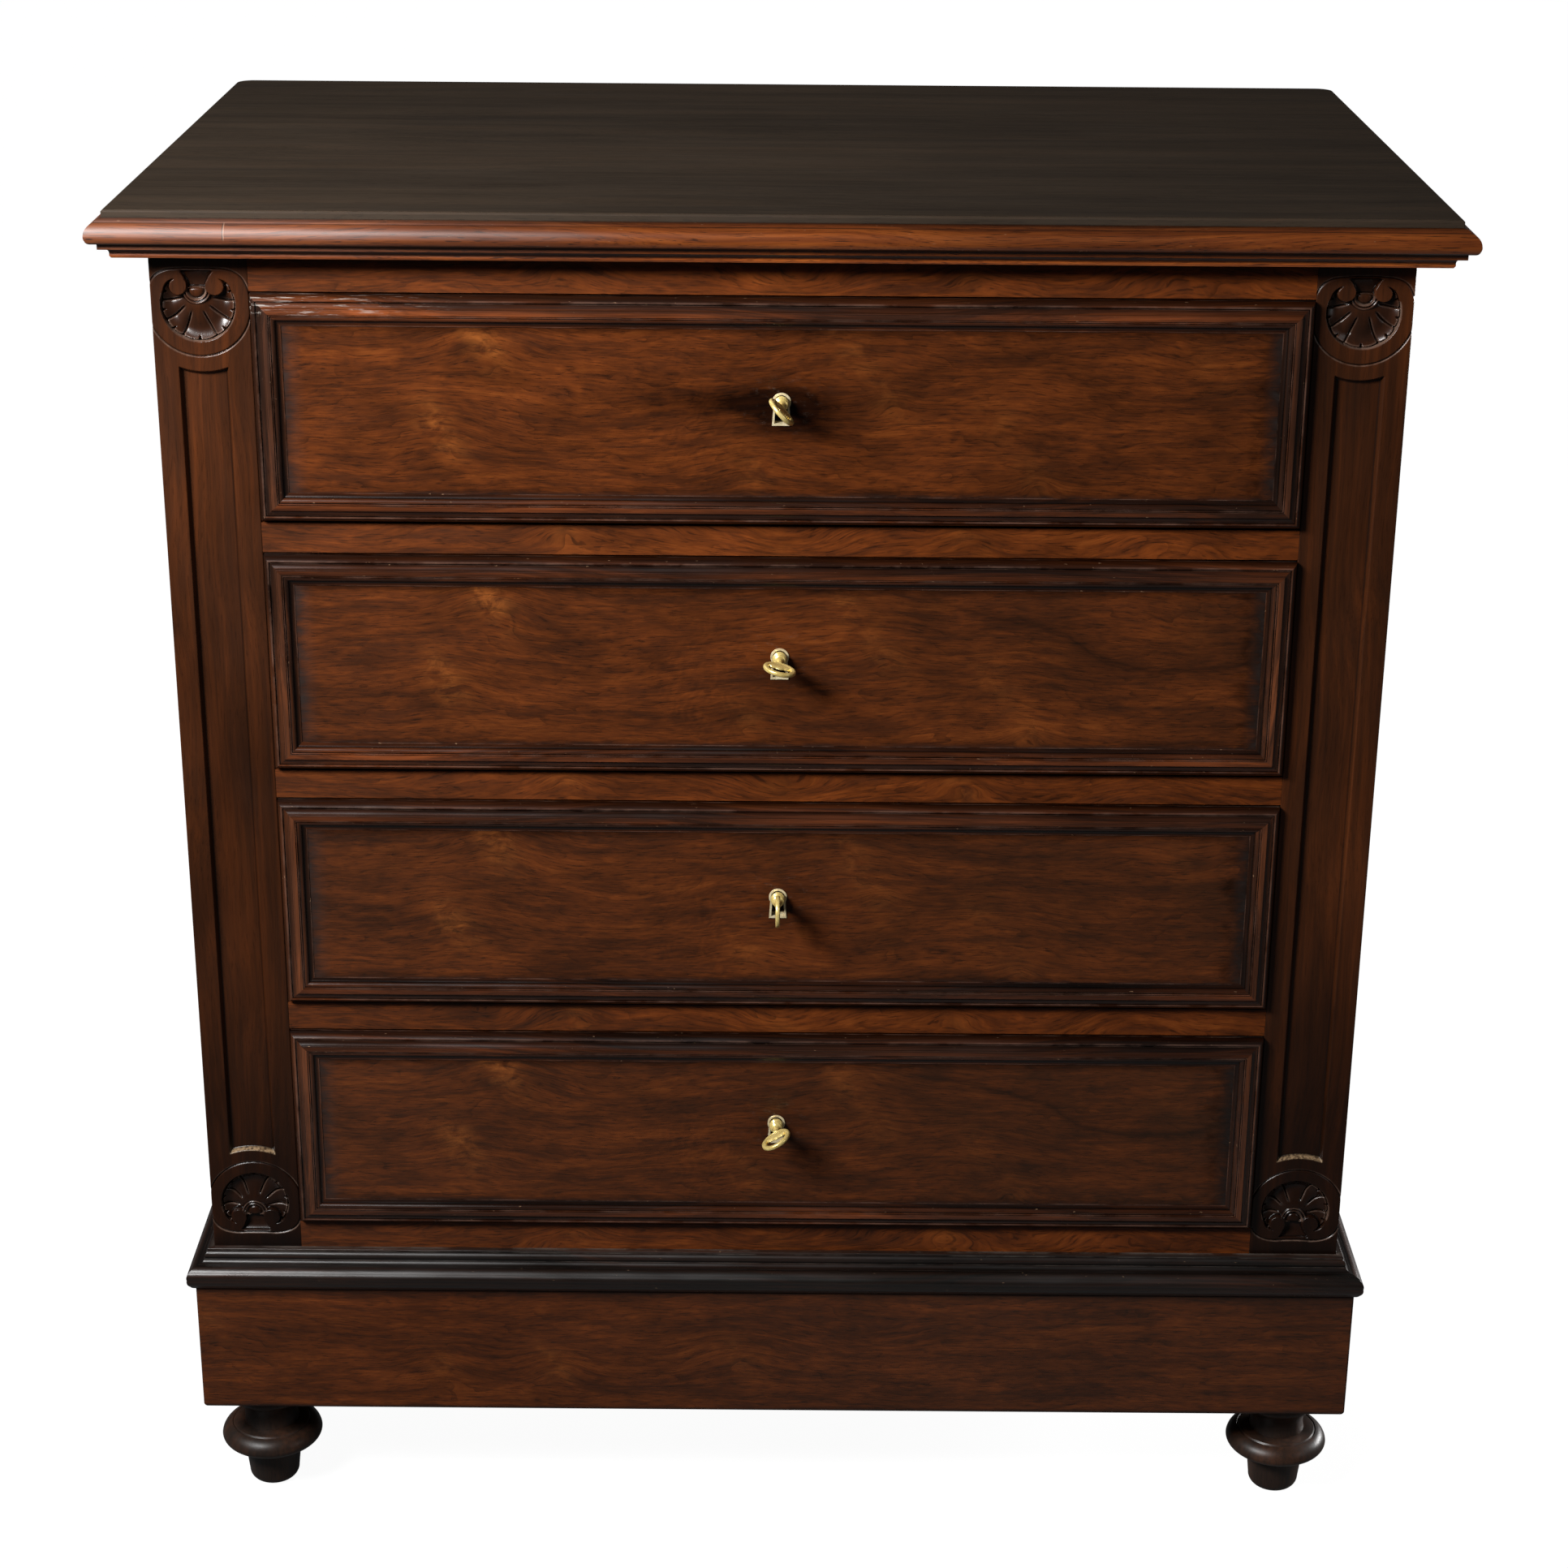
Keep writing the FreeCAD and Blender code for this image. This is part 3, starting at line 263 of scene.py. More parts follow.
# Dark, middle and light colour of each plain wood
TOP_COLOURS = ((0.019, 0.0122, 0.0074), (0.027, 0.0178, 0.0108), (0.035, 0.0218, 0.0128))
SIDE_COLOURS = (UMBER, BROWN, RUSSET)
CORNICE_COLOURS = (BROWN, RUSSET, AMBER)
BASE_COLOURS = (BLACK_POLISH, EBONY, UMBER)
FRAME_COLOURS = ((0.014, 0.0052, 0.0028), (0.036, 0.0100, 0.0036), (0.078, 0.0200, 0.0057))
UPRIGHT_COLOURS = ((0.016, 0.0068, 0.0040), (0.037, 0.0127, 0.0058), (0.076, 0.0230, 0.0083))
POST_COLOURS = ((0.021, 0.0072, 0.0030), (0.035, 0.0104, 0.0034), (0.064, 0.0170, 0.0045))
FOOT_COLOURS = ((0.010, 0.0066, 0.0050), (0.021, 0.0108, 0.0070), (0.039, 0.0165, 0.0090))
BARE_COLOURS = ((0.16, 0.085, 0.040), (0.27, 0.160, 0.085), (0.38, 0.250, 0.145))
FIGURE_STOPS = ((0.27, UMBER), (0.44, BROWN), (0.57, RUSSET), (0.78, AMBER))

# Depth of the pores and of the scratches in metal, in metres
PORE_RELIEF = 0.00005
POST_PORE_RELIEF = 0.00004
SCRATCH_DEPTH = 0.00002
# Where the cornice's front is open at a joint: across, and up at the middle of its torus
CORNICE_JOINT = -381.0
JOINT_HEIGHT = 1036.0


def rounded_normal(g, radius):
    """Normal rounded over the edges."""
    return g.run("Bevel", {"Radius": radius}, samples=4)


def edge_mask(g, rounded):
    """0 on flat faces, rising where the rounded normal leaves the flat one."""
    flat = g.run("NewGeometry", (), "Normal")
    agree = g.run("VectorMath", (rounded, flat), "Value", operation="DOT_PRODUCT")
    return g.math("SUBTRACT", 1.0, agree, clamp=True)


def grain_fields(g, axis, streaks, shift):
    """The place, turned along the grain, then bands, lines, pores and cloud, each about 0 to 1."""
    x, y, z = g.split(g.place())
    order = {"x": (x, y, z), "y": (y, x, z), "z": (z, x, y)}[axis]
    along = g.stretch(g.join(*order), (1, 1, 1), (shift, shift * 0.37, shift * 0.61))
    bend = g.noise(g.stretch(along, (2.4, 8, 8)), detail=2)
    lean = (bend - 0.5) * 0.06
    a, b, c = g.split(along)
    bent = g.join(a, b + lean, c + lean)
    bands = g.noise(g.stretch(bent, (1.6, streaks, streaks)), detail=3, rough=0.55)
    lines = g.noise(g.stretch(bent, (7, streaks * 9, streaks * 9)), detail=3, rough=0.6)
    pores = g.noise(g.stretch(bent, (60, 1700, 1700)), detail=1)
    cloud = g.noise(g.stretch(along, (5, 9, 9), (3, 1, 2)), detail=3)
    return along, bands, lines, pores, cloud


def board_colour(g, fields, colours, contrast, pore_shade, cloud_shades, light_stop=0.66):
    """Colour of a plain board from its grain."""
    along, bands, lines, pores, cloud = fields
    figure = (bands * 0.6 + lines * 0.4 - 0.5) * contrast + 0.5
    colour = g.ramp(figure, tuple(zip((0.34, 0.5, light_stop), colours)))
    colour = g.shade(colour, g.span(pores, 0.30, 0.42, pore_shade, 1.0, smooth=True))
    return g.shade(colour, g.span(cloud, 0.3, 0.7, *cloud_shades))


def moulded(g, colour, along, crevice):
    """Painted light and shade from the tones, painted shade in the quirks, pale flecks of a moulding, and
    where its arrises wear.
    """
    bent_out = g.told("relief")
    # Painted light and shade along the profile, then painted shade on its concave points.
    colour = g.shade(colour, g.told("tone") + 1.0)
    colour = g.shade(colour, g.span(bent_out, -0.6, -0.05, 1.0 - crevice, 1.0))
    flecks = g.noise(g.stretch(along, (240, 700, 700), (5, 1, 7)), detail=1)
    fleck = g.span(flecks, 0.76, 0.80) * g.span(bent_out, 0.02, 0.3, 0.1, 1.0)
    colour = g.blend(g.math("MULTIPLY", fleck, 0.5, clamp=True), colour, WORN)
    return colour, g.span(bent_out, 0.25, 0.9)


def wood(name, axis, colours, streaks=24.0, shift=0.0, contrast=1.2, roughness=0.38, specular=0.16,
         pore_depth=0.5, cloudiness=0.5, edge=0.0, crevice=0.0, wear=0.0, wear_colour=WORN,
         marks=None, glossier_right=0.0):
    """Polished wood with grain along an axis of the frame; marks adds what one piece alone has."""
    material, g = new_material(name)
    fields = grain_fields(g, axis, streaks, shift)
    along, bands, lines, pores, cloud = fields
    cloud_shades = (1.0 - cloudiness, 1.0 + cloudiness * 0.6)
    colour = board_colour(g, fields, colours, contrast, 1.0 - pore_depth, cloud_shades)
    normal = None
    if edge:
        normal = rounded_normal(g, edge)
        worn = g.span(edge_mask(g, normal), 0.02, 0.2)
    if crevice:
        colour, worn = moulded(g, colour, along, crevice)
    if marks:
        colour = marks(g, colour)
    if wear:
        patchy = g.noise(g.stretch(along, (30, 55, 55)), detail=4, rough=0.65)
        share = g.math("MULTIPLY", worn, g.span(patchy, 0.42, 0.62, 0, wear), clamp=True)
        colour = g.blend(share, colour, wear_colour)
    gloss = g.noise(g.stretch(along, (9, 35, 35)), detail=3)
    rough = g.span(gloss, 0.3, 0.7, roughness - 0.06, roughness + 0.08)
    if glossier_right:
        x, y, z = g.place_mm()
        rough = rough * g.span(x, -380.0, 0.0, 1.0, 1.0 - glossier_right, smooth=True)
    height = pores * 0.6 + lines
    finish_material(g, colour, rough, g.bump(height, PORE_RELIEF, normal), specular=specular)
    return material


def board_tones(g, colour):
    """Each board of the back has its own tone, and the joints between the boards are dark."""
    x, y, z = g.place_mm()
    row = (z - PLINTH_TOP) / BACK_BOARD_HEIGHT
    tone = g.math("SINE", g.math("FLOOR", row) * 2.4) * 0.10 + 0.96
    joint = g.span(g.math("PINGPONG", row, 0.5), 0.004, 0.011, 0.22, 1.0)
    return g.shade(colour, tone * joint)


def scuffed(g, colour):
    """White knocks on the upper left of the first drawer's frame."""
    x, y, z = g.place_mm()
    high = g.span(z, OPENING_TOP - 16.0, OPENING_TOP - 14.0)
    left = g.span(x, -335.0, -225.0, 1.0, 0.0)
    knocks = g.noise(g.stretch(g.place(), (50, 500, 620), (2, 0, 1)), detail=4, rough=0.7)
    return g.blend(high * left * g.span(knocks, 0.56, 0.66, 0.0, 0.5), colour, SCUFF)


def open_joint(g, colour):
    """An open joint across the cornice, dark on one side and pale on the other."""
    x, y, z = g.place_mm()
    sway = g.noise(g.stretch(g.place(), (0, 0, 500)), detail=1)
    aside = (sway - 0.5) * 0.5 + (x - CORNICE_JOINT)
    seen = g.span(abs(z - JOINT_HEIGHT), 4.0, 6.0, 1.0, 0.0)
    dark = seen * g.span(abs(aside), 0.2, 0.5, 0.8, 0.0)
    pale = seen * g.span(abs(aside - 0.7), 0.2, 0.45, 0.3, 0.0)
    return g.blend(pale, g.blend(dark, colour, BLACK_POLISH), JOINT_PALE)


# Knots of the veneer: share of the field's width from its left edge, share of its height from its top,
# half width and half height in millimetres, how far the grain swells, and how much a flame glows
KNOTS = (
    (0.20, 0.08, 40.0, 20.0, 15.0, 1.0),
    (0.155, 0.60, 34.0, 24.0, 9.0, 0.9),
    (0.57, 0.12, 60.0, 22.0, 9.0, 0.45),
    (0.61, 0.42, 14.0, 8.0, 6.0, 0.35),
    (0.76, 0.90, 14.0, 8.0, 8.0, 0.3),
    (0.33, 0.55, 70.0, 34.0, -8.0, 0.0),
    (0.47, 0.80, 30.0, 20.0, 6.0, 0.3),
    (0.72, 0.55, 80.0, 30.0, 8.0, 0.25),
    (0.93, 0.22, 50.0, 26.0, -5.0, 0.2),
)
RAIL_KNOTS = (
    (0.08, 0.50, 60.0, 20.0, -9.0, 0.0),
    (0.29, 0.40, 26.0, 12.0, 12.0, 0.3),
    (0.50, 0.60, 50.0, 18.0, -12.0, 0.2),
    (0.68, 0.45, 22.0, 12.0, 10.0, 0.3),
    (0.86, 0.40, 60.0, 20.0, 12.0, 0.0),
)
PLINTH_KNOTS = (
    (0.10, 0.60, 90.0, 26.0, -14.0, 0.0),
    (0.30, 0.30, 90.0, 26.0, 14.0, 0.3),
    (0.50, 0.60, 30.0, 18.0, 10.0, 0.35),
    (0.60, 0.62, 24.0, 16.0, 12.0, 0.45),
    (0.76, 0.50, 40.0, 24.0, 14.0, 0.4),
    (0.88, 0.40, 50.0, 22.0, -10.0, 0.0),
)
# Half width and half height of a flame, and how far it leans for each millimetre down
FLAME_SIZE = (13.0, 19.0)
FLAME_LEAN = 0.45
# How far the grain drifts up and down, in millimetres
DRIFT = 20.0
RAIL_DRIFT = 46.0
# Height, from the top of each pitch down, over which the knots of the rails are spread
RAIL_FIELD_HEIGHT = 50.0
# Rows of the noise that the rails and the plinth have to themselves
RAIL_ROW = 4.3
PLINTH_ROW = 9.0
# The curl beside the keyhole: share of width, share of height, half width, half height
CURL = (0.42, 0.62, 36.0, 50.0)
# A dark growth line that sweeps down across the right half: (share of width, share of height)
DARK_SWEEP = ((0.60, 0.02), (0.70, 0.14), (0.79, 0.27), (0.86, 0.47), (0.93, 0.49), (1.0, 0.32))
# Hand marks: to the right of the keyhole, below it, half width, half height, strength
HALO = (3.0, 8.0, 24.0, 20.0, 0.55)
# The third of the first drawer's marks lies where its key's shadow falls: part smear and part painted
# shadow.
FIRST_MARKS = ((-26.0, 1.0, 62.0, 10.0, 0.95), (0.0, 4.0, 34.0, 19.0, 0.75), (34.0, 17.0, 26.0, 12.0, 0.4))


def field_place(g):
    """Millimetres across a drawer's field and down from its top, and the drawer's number less 1."""
    x, y, z = g.place_mm()
    down = OPENING_TOP - z
    row = g.math("FLOOR", down / PITCH)
    return x, down - row * PITCH - FIELD_TOP, row


def figured_wood(g, across, down, row, knots, half_width, field_height, drift=DRIFT):
    """Grain that flows round knots: its colour, tears, relief and cloud."""
    swing = g.grain((across, down, row), (0.0065, 0.020, 0.30), detail=2, rough=0.45) - 0.5
    height = swing * drift + down
    flames = 0.0
    for share_x, share_y, wide, high, swell, fire in knots:
        x = (share_x * 2 - 1) * half_width
        y = share_y * field_height
        height = g.hill(across, down, x, y, wide, high) * swell + height
        if fire:
            flame = g.hill(across - down * FLAME_LEAN, down, x - FLAME_LEAN * y, y, *FLAME_SIZE)
            flames = flame * fire + flames
    places = (across, height, row)
    bands = g.grain(places, (0.0075, 0.075, 1.3), detail=2)
    lines = g.grain(places, (0.022, 0.36, 1.0), detail=3, rough=0.6, distortion=0.35)
    pores = g.grain(places, (0.085, 1.15, 1.0), detail=2, rough=0.6, distortion=0.2)
    patches = g.grain(places, (0.045, 0.16, 3.1), detail=4, rough=0.6, distortion=0.8)
    torn = g.grain((across, down, row), (0.05, 0.085, 2.0), detail=5, rough=0.65, distortion=0.9)
    figure = bands * 0.28 + patches * 0.28 + lines * 0.26 + pores * 0.18
    colour = g.ramp((figure - 0.5) * 1.40 + 0.5, FIGURE_STOPS)
    glow = g.math("MULTIPLY", flames, g.span(torn, 0.40, 0.66), clamp=True)
    colour = g.blend(glow * 0.85, colour, EMBER)
    colour = g.shade(colour, g.span(pores, 0.35, 0.41, 0.56, 1.0, smooth=True))
    spacing = g.grain(places, (0.011, 0.030, 1.7), detail=3, rough=0.55)
    ring = g.math("FRACT", spacing * 5.0 + height * 0.10)
    colour = g.shade(colour, 1.05 - ring ** 7.0 * g.span(torn, 0.36, 0.58, 0.12, 0.52))
    cloud_place = (across, down, row)
    cloud = g.grain(cloud_place, (0.013, 0.032, 0.8), detail=5, rough=0.62, distortion=0.4)
    colour = g.shade(colour, g.span(cloud, 0.34, 0.64, 0.60, 1.02))
    return colour, torn, pores * 0.7 + lines, cloud


def veneer(name):
    """Figured veneer of the drawer fronts, with the darkening of handling, painted shade toward the lower
    right and painted sheen toward the left.
    """
    material, g = new_material(name)
    across, down, row = field_place(g)
    colour, torn, relief, cloud = figured_wood(g, across, down, row, KNOTS, FIELD_HALF, FIELD_HEIGHT)
    sway = g.grain((across, down, row), (0.03, 0.045, 1.0), detail=3)
    ripple = g.math("SINE", sway * 46.0 + (across + down * 0.65) * 0.75)
    curl_x = (CURL[0] * 2 - 1) * FIELD_HALF
    curly = g.hill(across, down, curl_x, CURL[1] * FIELD_HEIGHT, *CURL[2:]) * g.span(torn, 0.35, 0.6)
    colour = g.shade(colour, ripple * curly * 0.17 + 1.0)
    colour = g.shade(colour, sweep_shade(g, across, down, row))
    # Painted shade: darker and greyer toward the lower right of the fronts and on the lower drawers, where
    # less light falls.
    lower_right_shade = g.span(across, -200.0, FIELD_HALF) * g.span(row, 0.0, 3.0, 0.12, 0.42)
    colour = g.blend(lower_right_shade * g.span(cloud, 0.35, 0.6, 1.1, 0.8), colour, FALLOFF_SHADE)
    # Painted sheen: paler and greyer toward the left of each front, more on the lower drawers.
    left_sheen = g.span(across, -FIELD_HALF, 0.0, 1.0, 0.45) * g.span(row, 0.0, 3.0, 0.11, 0.27)
    colour = g.blend(left_sheen, colour, DUST_AND_SHEEN)
    colour = g.shade(colour, border_shade(g, across, down, torn))
    colour = g.shade(colour, keyhole_shade(g, across, down, row, torn))
    colour = g.blend(scratch_mask(g, across, down), colour, SCRATCH)
    colour = g.blend(wax_mask(g, across, down, torn), colour, WAX)
    rough = g.span(cloud, 0.3, 0.7, 0.25, 0.34)
    finish_material(g, colour, rough, g.bump(relief, PORE_RELIEF), specular=0.14)
    return material


def plinth_veneer(name):
    """The same wood on the plinth, with painted shade along its top and foot and painted light toward the
    left.
    """
    material, g = new_material(name)
    x, y, z = g.place_mm()
    across = x - y
    down = PLINTH_TOP - z
    colour, torn, relief, cloud = figured_wood(g, across, down, PLINTH_ROW, PLINTH_KNOTS, PLINTH_HALF,
                                               PLINTH_HEIGHT)
    # Painted shade along the foot and, under the moulding, along the top; painted light toward the left.
    colour = g.shade(colour, g.span(PLINTH_HEIGHT - down, 0.0, 7.0, 0.6, 1.0, smooth=True))
    colour = g.shade(colour, g.span(down, 0.0, 12.0, 0.45, 1.0, smooth=True))
    colour = g.shade(colour, g.span(across, -450.0, 0.0, 1.40, 1.0))
    colour = g.blend(g.span(abs(across), 0.0, 400.0, 0.10, 0.24), colour, DUST_AND_SHEEN)
    normal = g.bump(relief, PORE_RELIEF, rounded_normal(g, 0.0015))
    finish_material(g, colour, g.span(cloud, 0.3, 0.7, 0.34, 0.44), normal, specular=0.22)
    return material


def rail_veneer(name):
    """Veneer of the rails: its grain drifts more; painted shade darkens it toward the floor and painted
    sheen pales it toward the left.
    """
    material, g = new_material(name)
    x, y, z = g.place_mm()
    from_top = CARCASS_TOP - z
    row = g.math("FLOOR", from_top / PITCH)
    down = from_top - row * PITCH
    colour, torn, relief, cloud = figured_wood(g, x, down, row + RAIL_ROW, RAIL_KNOTS, HALF_OPENING,
                                               RAIL_FIELD_HEIGHT, RAIL_DRIFT)
    # Painted shade: darker toward the floor, where less light falls; then painted sheen, paler toward the
    # left.
    colour = g.shade(colour, g.span(z, PLINTH_TOP, 820.0, 1.08, 1.30))
    colour = g.blend(g.span(x, -HALF_OPENING, 0.0, 0.20, 0.06), colour, DUST_AND_SHEEN)
    rough = g.span(cloud, 0.3, 0.7, 0.27, 0.36)
    finish_material(g, colour, rough, g.bump(relief, PORE_RELIEF), specular=0.18)
    return material


def sweep_shade(g, across, down, row):
    """Dark growth line over the right half, strong on every second leaf of veneer."""
    share = (across + FIELD_HALF) / (2 * FIELD_HALF)
    track = g.node("FloatCurve")
    points = track.mapping.curves[0].points
    while len(points) < len(DARK_SWEEP):
        points.new(0.5, 0.5)
    for point, place in zip(points, DARK_SWEEP):
        point.location = place
    track.mapping.update()
    g.plug(share, track.inputs["Value"])
    fuzz = g.grain((across, down, row), (0.05, 0.1, 1.0), detail=3)
    offset = (fuzz - 0.5) * 10.0 + (down - Wire(g, track.outputs[0]) * FIELD_HEIGHT)
    above = g.math("EXPONENT", abs(offset) * -0.22)
    under = g.math("LESS_THAN", offset, 0.0) * g.span(offset, -26.0, 0.0, 0.0, 0.5)
    strength = g.span(share, 0.58, 0.70) * (row % 2.0 * 0.35 + 0.25)
    return 1.0 - g.math("MULTIPLY", strength, g.math("MAXIMUM", above, under), clamp=True)


def border_shade(g, across, down, torn):
    """Darker along the borders of the field, most at its ragged right end."""
    side = FIELD_HALF - abs(across)
    near = g.math("MINIMUM", side, g.math("MINIMUM", down, FIELD_HEIGHT - down))
    ragged = torn - 0.5
    border = g.span(ragged * 9.0 + near, -1.0, 9.0, 0.35, 1.0, smooth=True)
    return border * g.span(ragged * 60.0 + (FIELD_HALF - across), 0.0, 24.0, 0.40, 1.0, smooth=True)


def wax_mask(g, across, down, torn):
    """Grey old wax at both ends and along the foot of the field."""
    left = g.span(across + FIELD_HALF, 0.0, 17.0, 0.75, 0.0, smooth=True)
    right = g.span(FIELD_HALF - across, 0.0, 14.0, 0.6, 0.0, smooth=True)
    foot = g.span(FIELD_HEIGHT - down, 0.0, 6.0, 0.5, 0.0, smooth=True)
    share = g.math("MAXIMUM", g.math("MAXIMUM", left, right), foot)
    return share * g.span(torn, 0.34, 0.6, 1.0, 0.35)


def keyhole_shade(g, across, down, row, torn):
    """Hand marks round the keyhole, and a black smear beside the first one, whose lower right part is
    partly painted shadow of its key.
    """
    def mark(right, below, wide, high, strength):
        return g.hill(across, down, right, KEYHOLE_DOWN + below, wide, high) * strength

    black = sum(mark(*place) for place in FIRST_MARKS)
    marks = mark(*HALO) + g.math("LESS_THAN", row, 0.5) * black
    marks = marks * g.span(torn, 0.3, 0.6, 0.8, 1.05)
    return 1.0 - g.math("MINIMUM", marks * 0.8, 0.88)


def scratch_mask(g, across, down):
    """Fine pale scratches near the keyhole."""
    near = g.hill(across, down, 0.0, KEYHOLE_DOWN, 24.0, 18.0)
    hair = g.noise(g.join(across * 0.12, down * 1.7, 3.0), detail=2, distortion=1.4)
    line = g.span(abs(hair - 0.5), 0.0, 0.010, 1.0, 0.0)
    broken = g.noise(g.join(across * 0.14, down * 0.2, 9.0), detail=1)
    return g.math("MULTIPLY", near * line, g.span(broken, 0.56, 0.68, 0.0, 0.8), clamp=True)


def metal(name, colour, dull, roughness, metallic=1.0):
    """Metal with cloudy tarnish and fine grime."""
    material, g = new_material(name)
    tarnish = g.noise(g.place(), scale=190, detail=4, rough=0.6)
    grime = g.noise(g.place(), scale=1100, detail=2)
    tint = g.ramp(tarnish, ((0.36, dull), (0.58, colour)))
    tint = g.shade(tint, g.span(grime, 0.3, 0.55, 0.72, 1.0))
    rough = g.span(tarnish, 0.3, 0.7, roughness + 0.14, roughness - 0.04)
    normal = g.bump(grime, SCRATCH_DEPTH, rounded_normal(g, 0.0003))
    finish_material(g, tint, rough, normal, metallic=metallic)
    return material


# Meshes

# A turn of an outline, in radians, that counts as a full arris
FULL_BEND = 0.7


def arc(start, end, bulge, count=8):
    """Points after start of an arc that swells to the left of its chord by bulge."""
    run = (end[0] - start[0], end[1] - start[1])
    chord = math.hypot(*run)
    half_turn = 2 * math.atan(2 * bulge / chord)
    radius = chord / (2 * math.sin(half_turn))
    points = []
    for step in range(1, count + 1):
        angle = half_turn * (2 * step / count - 1)
        onward = 0.5 + radius * math.sin(angle) / chord
        aside = (radius * math.cos(angle) - radius * math.cos(half_turn)) / chord
        points.append((start[0] + run[0] * onward - run[1] * aside,
                       start[1] + run[1] * onward + run[0] * aside))
    return points


def section(*steps):
    """Closed outline from corners and, as (end, bulge), arcs."""
    points = [steps[0]]
    for step in steps[1:]:
        if isinstance(step[0], tuple):
            points.extend(arc(points[-1], *step))
        else:
            points.append(step)
    return points


def convexity(outline):
    """How far each point of a closed outline stands out (1) or lies in a corner (-1)."""
    after = outline[1:] + outline[:1]
    area = sum(here[0] * there[1] - there[0] * here[1] for here, there in zip(outline, after))
    turns = []
    for before, here, there in zip(outline[-1:] + outline[:-1], outline, after):
        ax, ay = here[0] - before[0], here[1] - before[1]
        bx, by = there[0] - here[0], there[1] - here[1]
        turn = math.atan2(ax * by - ay * bx, ax * bx + ay * by) / FULL_BEND
        turns.append(max(-1.0, min(1.0, turn)) * (1 if area > 0 else -1))
    return turns


def painted_shading(outline, which, table):
    """Painted light and shade of each point, as a tone less 1, looked up by one of its coordinates:
    painted shade darkens the quirks.
    """
    places, shading = zip(*table)
    return [float(np.interp(point[which], places, shading)) - 1.0 for point in outline]


def new_piece(name, points, faces, slots, materials, sharp=32.0, told=None):
    """Smooth mesh with edges sharp from an angle in degrees; told holds numbers for its points."""
    mesh = bpy.data.meshes.new(name)
    mesh.from_pydata(points, [], faces)
    for material in materials:
        mesh.materials.append(material)
    mesh.polygons.foreach_set("material_index", slots)
    for word, numbers in (told or {}).items():
        mesh.attributes.new(word, "FLOAT", "POINT").data.foreach_set("value", numbers)
    work = bmesh.new()
    work.from_mesh(mesh)
    bmesh.ops.recalc_face_normals(work, faces=work.faces)
    work.to_mesh(mesh)
    work.free()
    mesh.polygons.foreach_set("use_smooth", [True] * len(mesh.polygons))
    mesh.set_sharp_from_angle(angle=math.radians(sharp))
    piece = bpy.data.objects.new(name, mesh)
    bpy.context.scene.collection.objects.link(piece)
    return piece


def stand_for(piece, node, body):
    """Put a piece in a CAD node's place, hiding the node, and on a body."""
    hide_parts(node)
    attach(piece, body)


def grid_faces(rows, columns, rows_close=False, columns_close=False):
    """Quads of a grid of points that is listed row by row and may close on itself."""
    faces = []
    for i in range(rows if rows_close else rows - 1):
        here = i * columns
        after = (i + 1) % rows * columns
        for j in range(columns if columns_close else columns - 1):
            k = (j + 1) % columns
            faces.append((here + j, here + k, after + k, after + j))
    return faces


def prism_faces(count):
    """Sides and ends between two rings of points."""
    ends = [tuple(range(count)), tuple(range(count, 2 * count))]
    return grid_faces(2, count, columns_close=True) + ends


def joined(parts):
    """Points, faces and material slots of several parts as one mesh."""
    points, faces, slots = [], [], []
    for more_points, more_faces, more_slots in parts:
        first = len(points)
        points.extend(more_points)
        faces.extend(tuple(first + i for i in corners) for corners in more_faces)
        slots.extend(more_slots)
    return points, faces, slots


def swept(name, outline, which, shading, runs, materials):
    """Closed prisms of one section; each run is its two end rings and its material slot."""
    prism = prism_faces(len(outline))
    parts = [(start + end, prism, [slot] * len(prism)) for start, end, slot in runs]
    rings = 2 * len(runs)
    # The tone kept on the points is painted light and shade.
    told = {"relief": convexity(outline) * rings, "tone": painted_shading(outline, which, shading) * rings}
    return new_piece(name, *joined(parts), materials, told=told)


def surround(name, outline, shading, materials):
    """Front run and two mitred returns of a section given as (out, up)."""
    def ring(side, behind):
        return [spot(side * (HALF_WIDTH + out), -CARCASS_DEPTH if behind else out, up)
                for out, up in outline]

    left, right = ring(-1, False), ring(1, False)
    runs = ((left, right, 0), (left, ring(-1, True), 1), (right, ring(1, True), 1))
    return swept(name, outline, 1, shading, runs, materials)


def drawer_frame(name, low, high, materials):
    """Four mitred runs of a section given as (inwards from the drawer's edge, out)."""
    outline = drawer_frame_outline()

    def ring(side, level, way):
        return [spot(side * (DRAWER_HALF - u), out, level + way * u) for u, out in outline]

    foot_left, foot_right = ring(-1, low, 1), ring(1, low, 1)
    head_left, head_right = ring(-1, high, -1), ring(1, high, -1)
    runs = ((foot_left, foot_right, 0), (head_left, head_right, 0),
            (foot_left, head_left, 1), (foot_right, head_right, 1))
    return swept(name, outline, 0, FRAME_SHADING, runs, materials)


# Mouldings

# Painted light and shade along each profile, as tones by height for the surrounds and by distance inwards
# for the drawers' frames: painted shade in the quirks, painted light on the ridges
FRAME_SHADING = (
    (0.0, 0.2), (0.9, 0.5), (2.4, 0.8), (3.6, 1.1), (4.2, 0.7), (4.4, 0.1), (4.95, 0.1), (5.1, 0.5),
    (7.0, 0.8), (9.2, 1.2), (9.8, 1.8), (13.1, 1.7), (13.25, 0.8), (13.35, 0.1), (13.65, 0.1),
    (13.75, 1.5), (14.25, 1.4), (14.35, 0.1), (14.8, 0.1), (15.0, 0.8), (16.2, 0.9), (17.8, 0.6),
    (18.1, 0.1), (18.4, 0.12), (19.5, 0.5), (21.0, 0.6), (21.2, 1.4), (21.5, 1.2), (21.6, 0.2),
)
TORUS_SHADING = (
    (1026.5, 0.3), (1027.8, 0.7), (1029.5, 1.0), (1038.5, 1.0), (1041.5, 0.75), (1043.0, 0.4),
    (1043.5, 0.25),
)
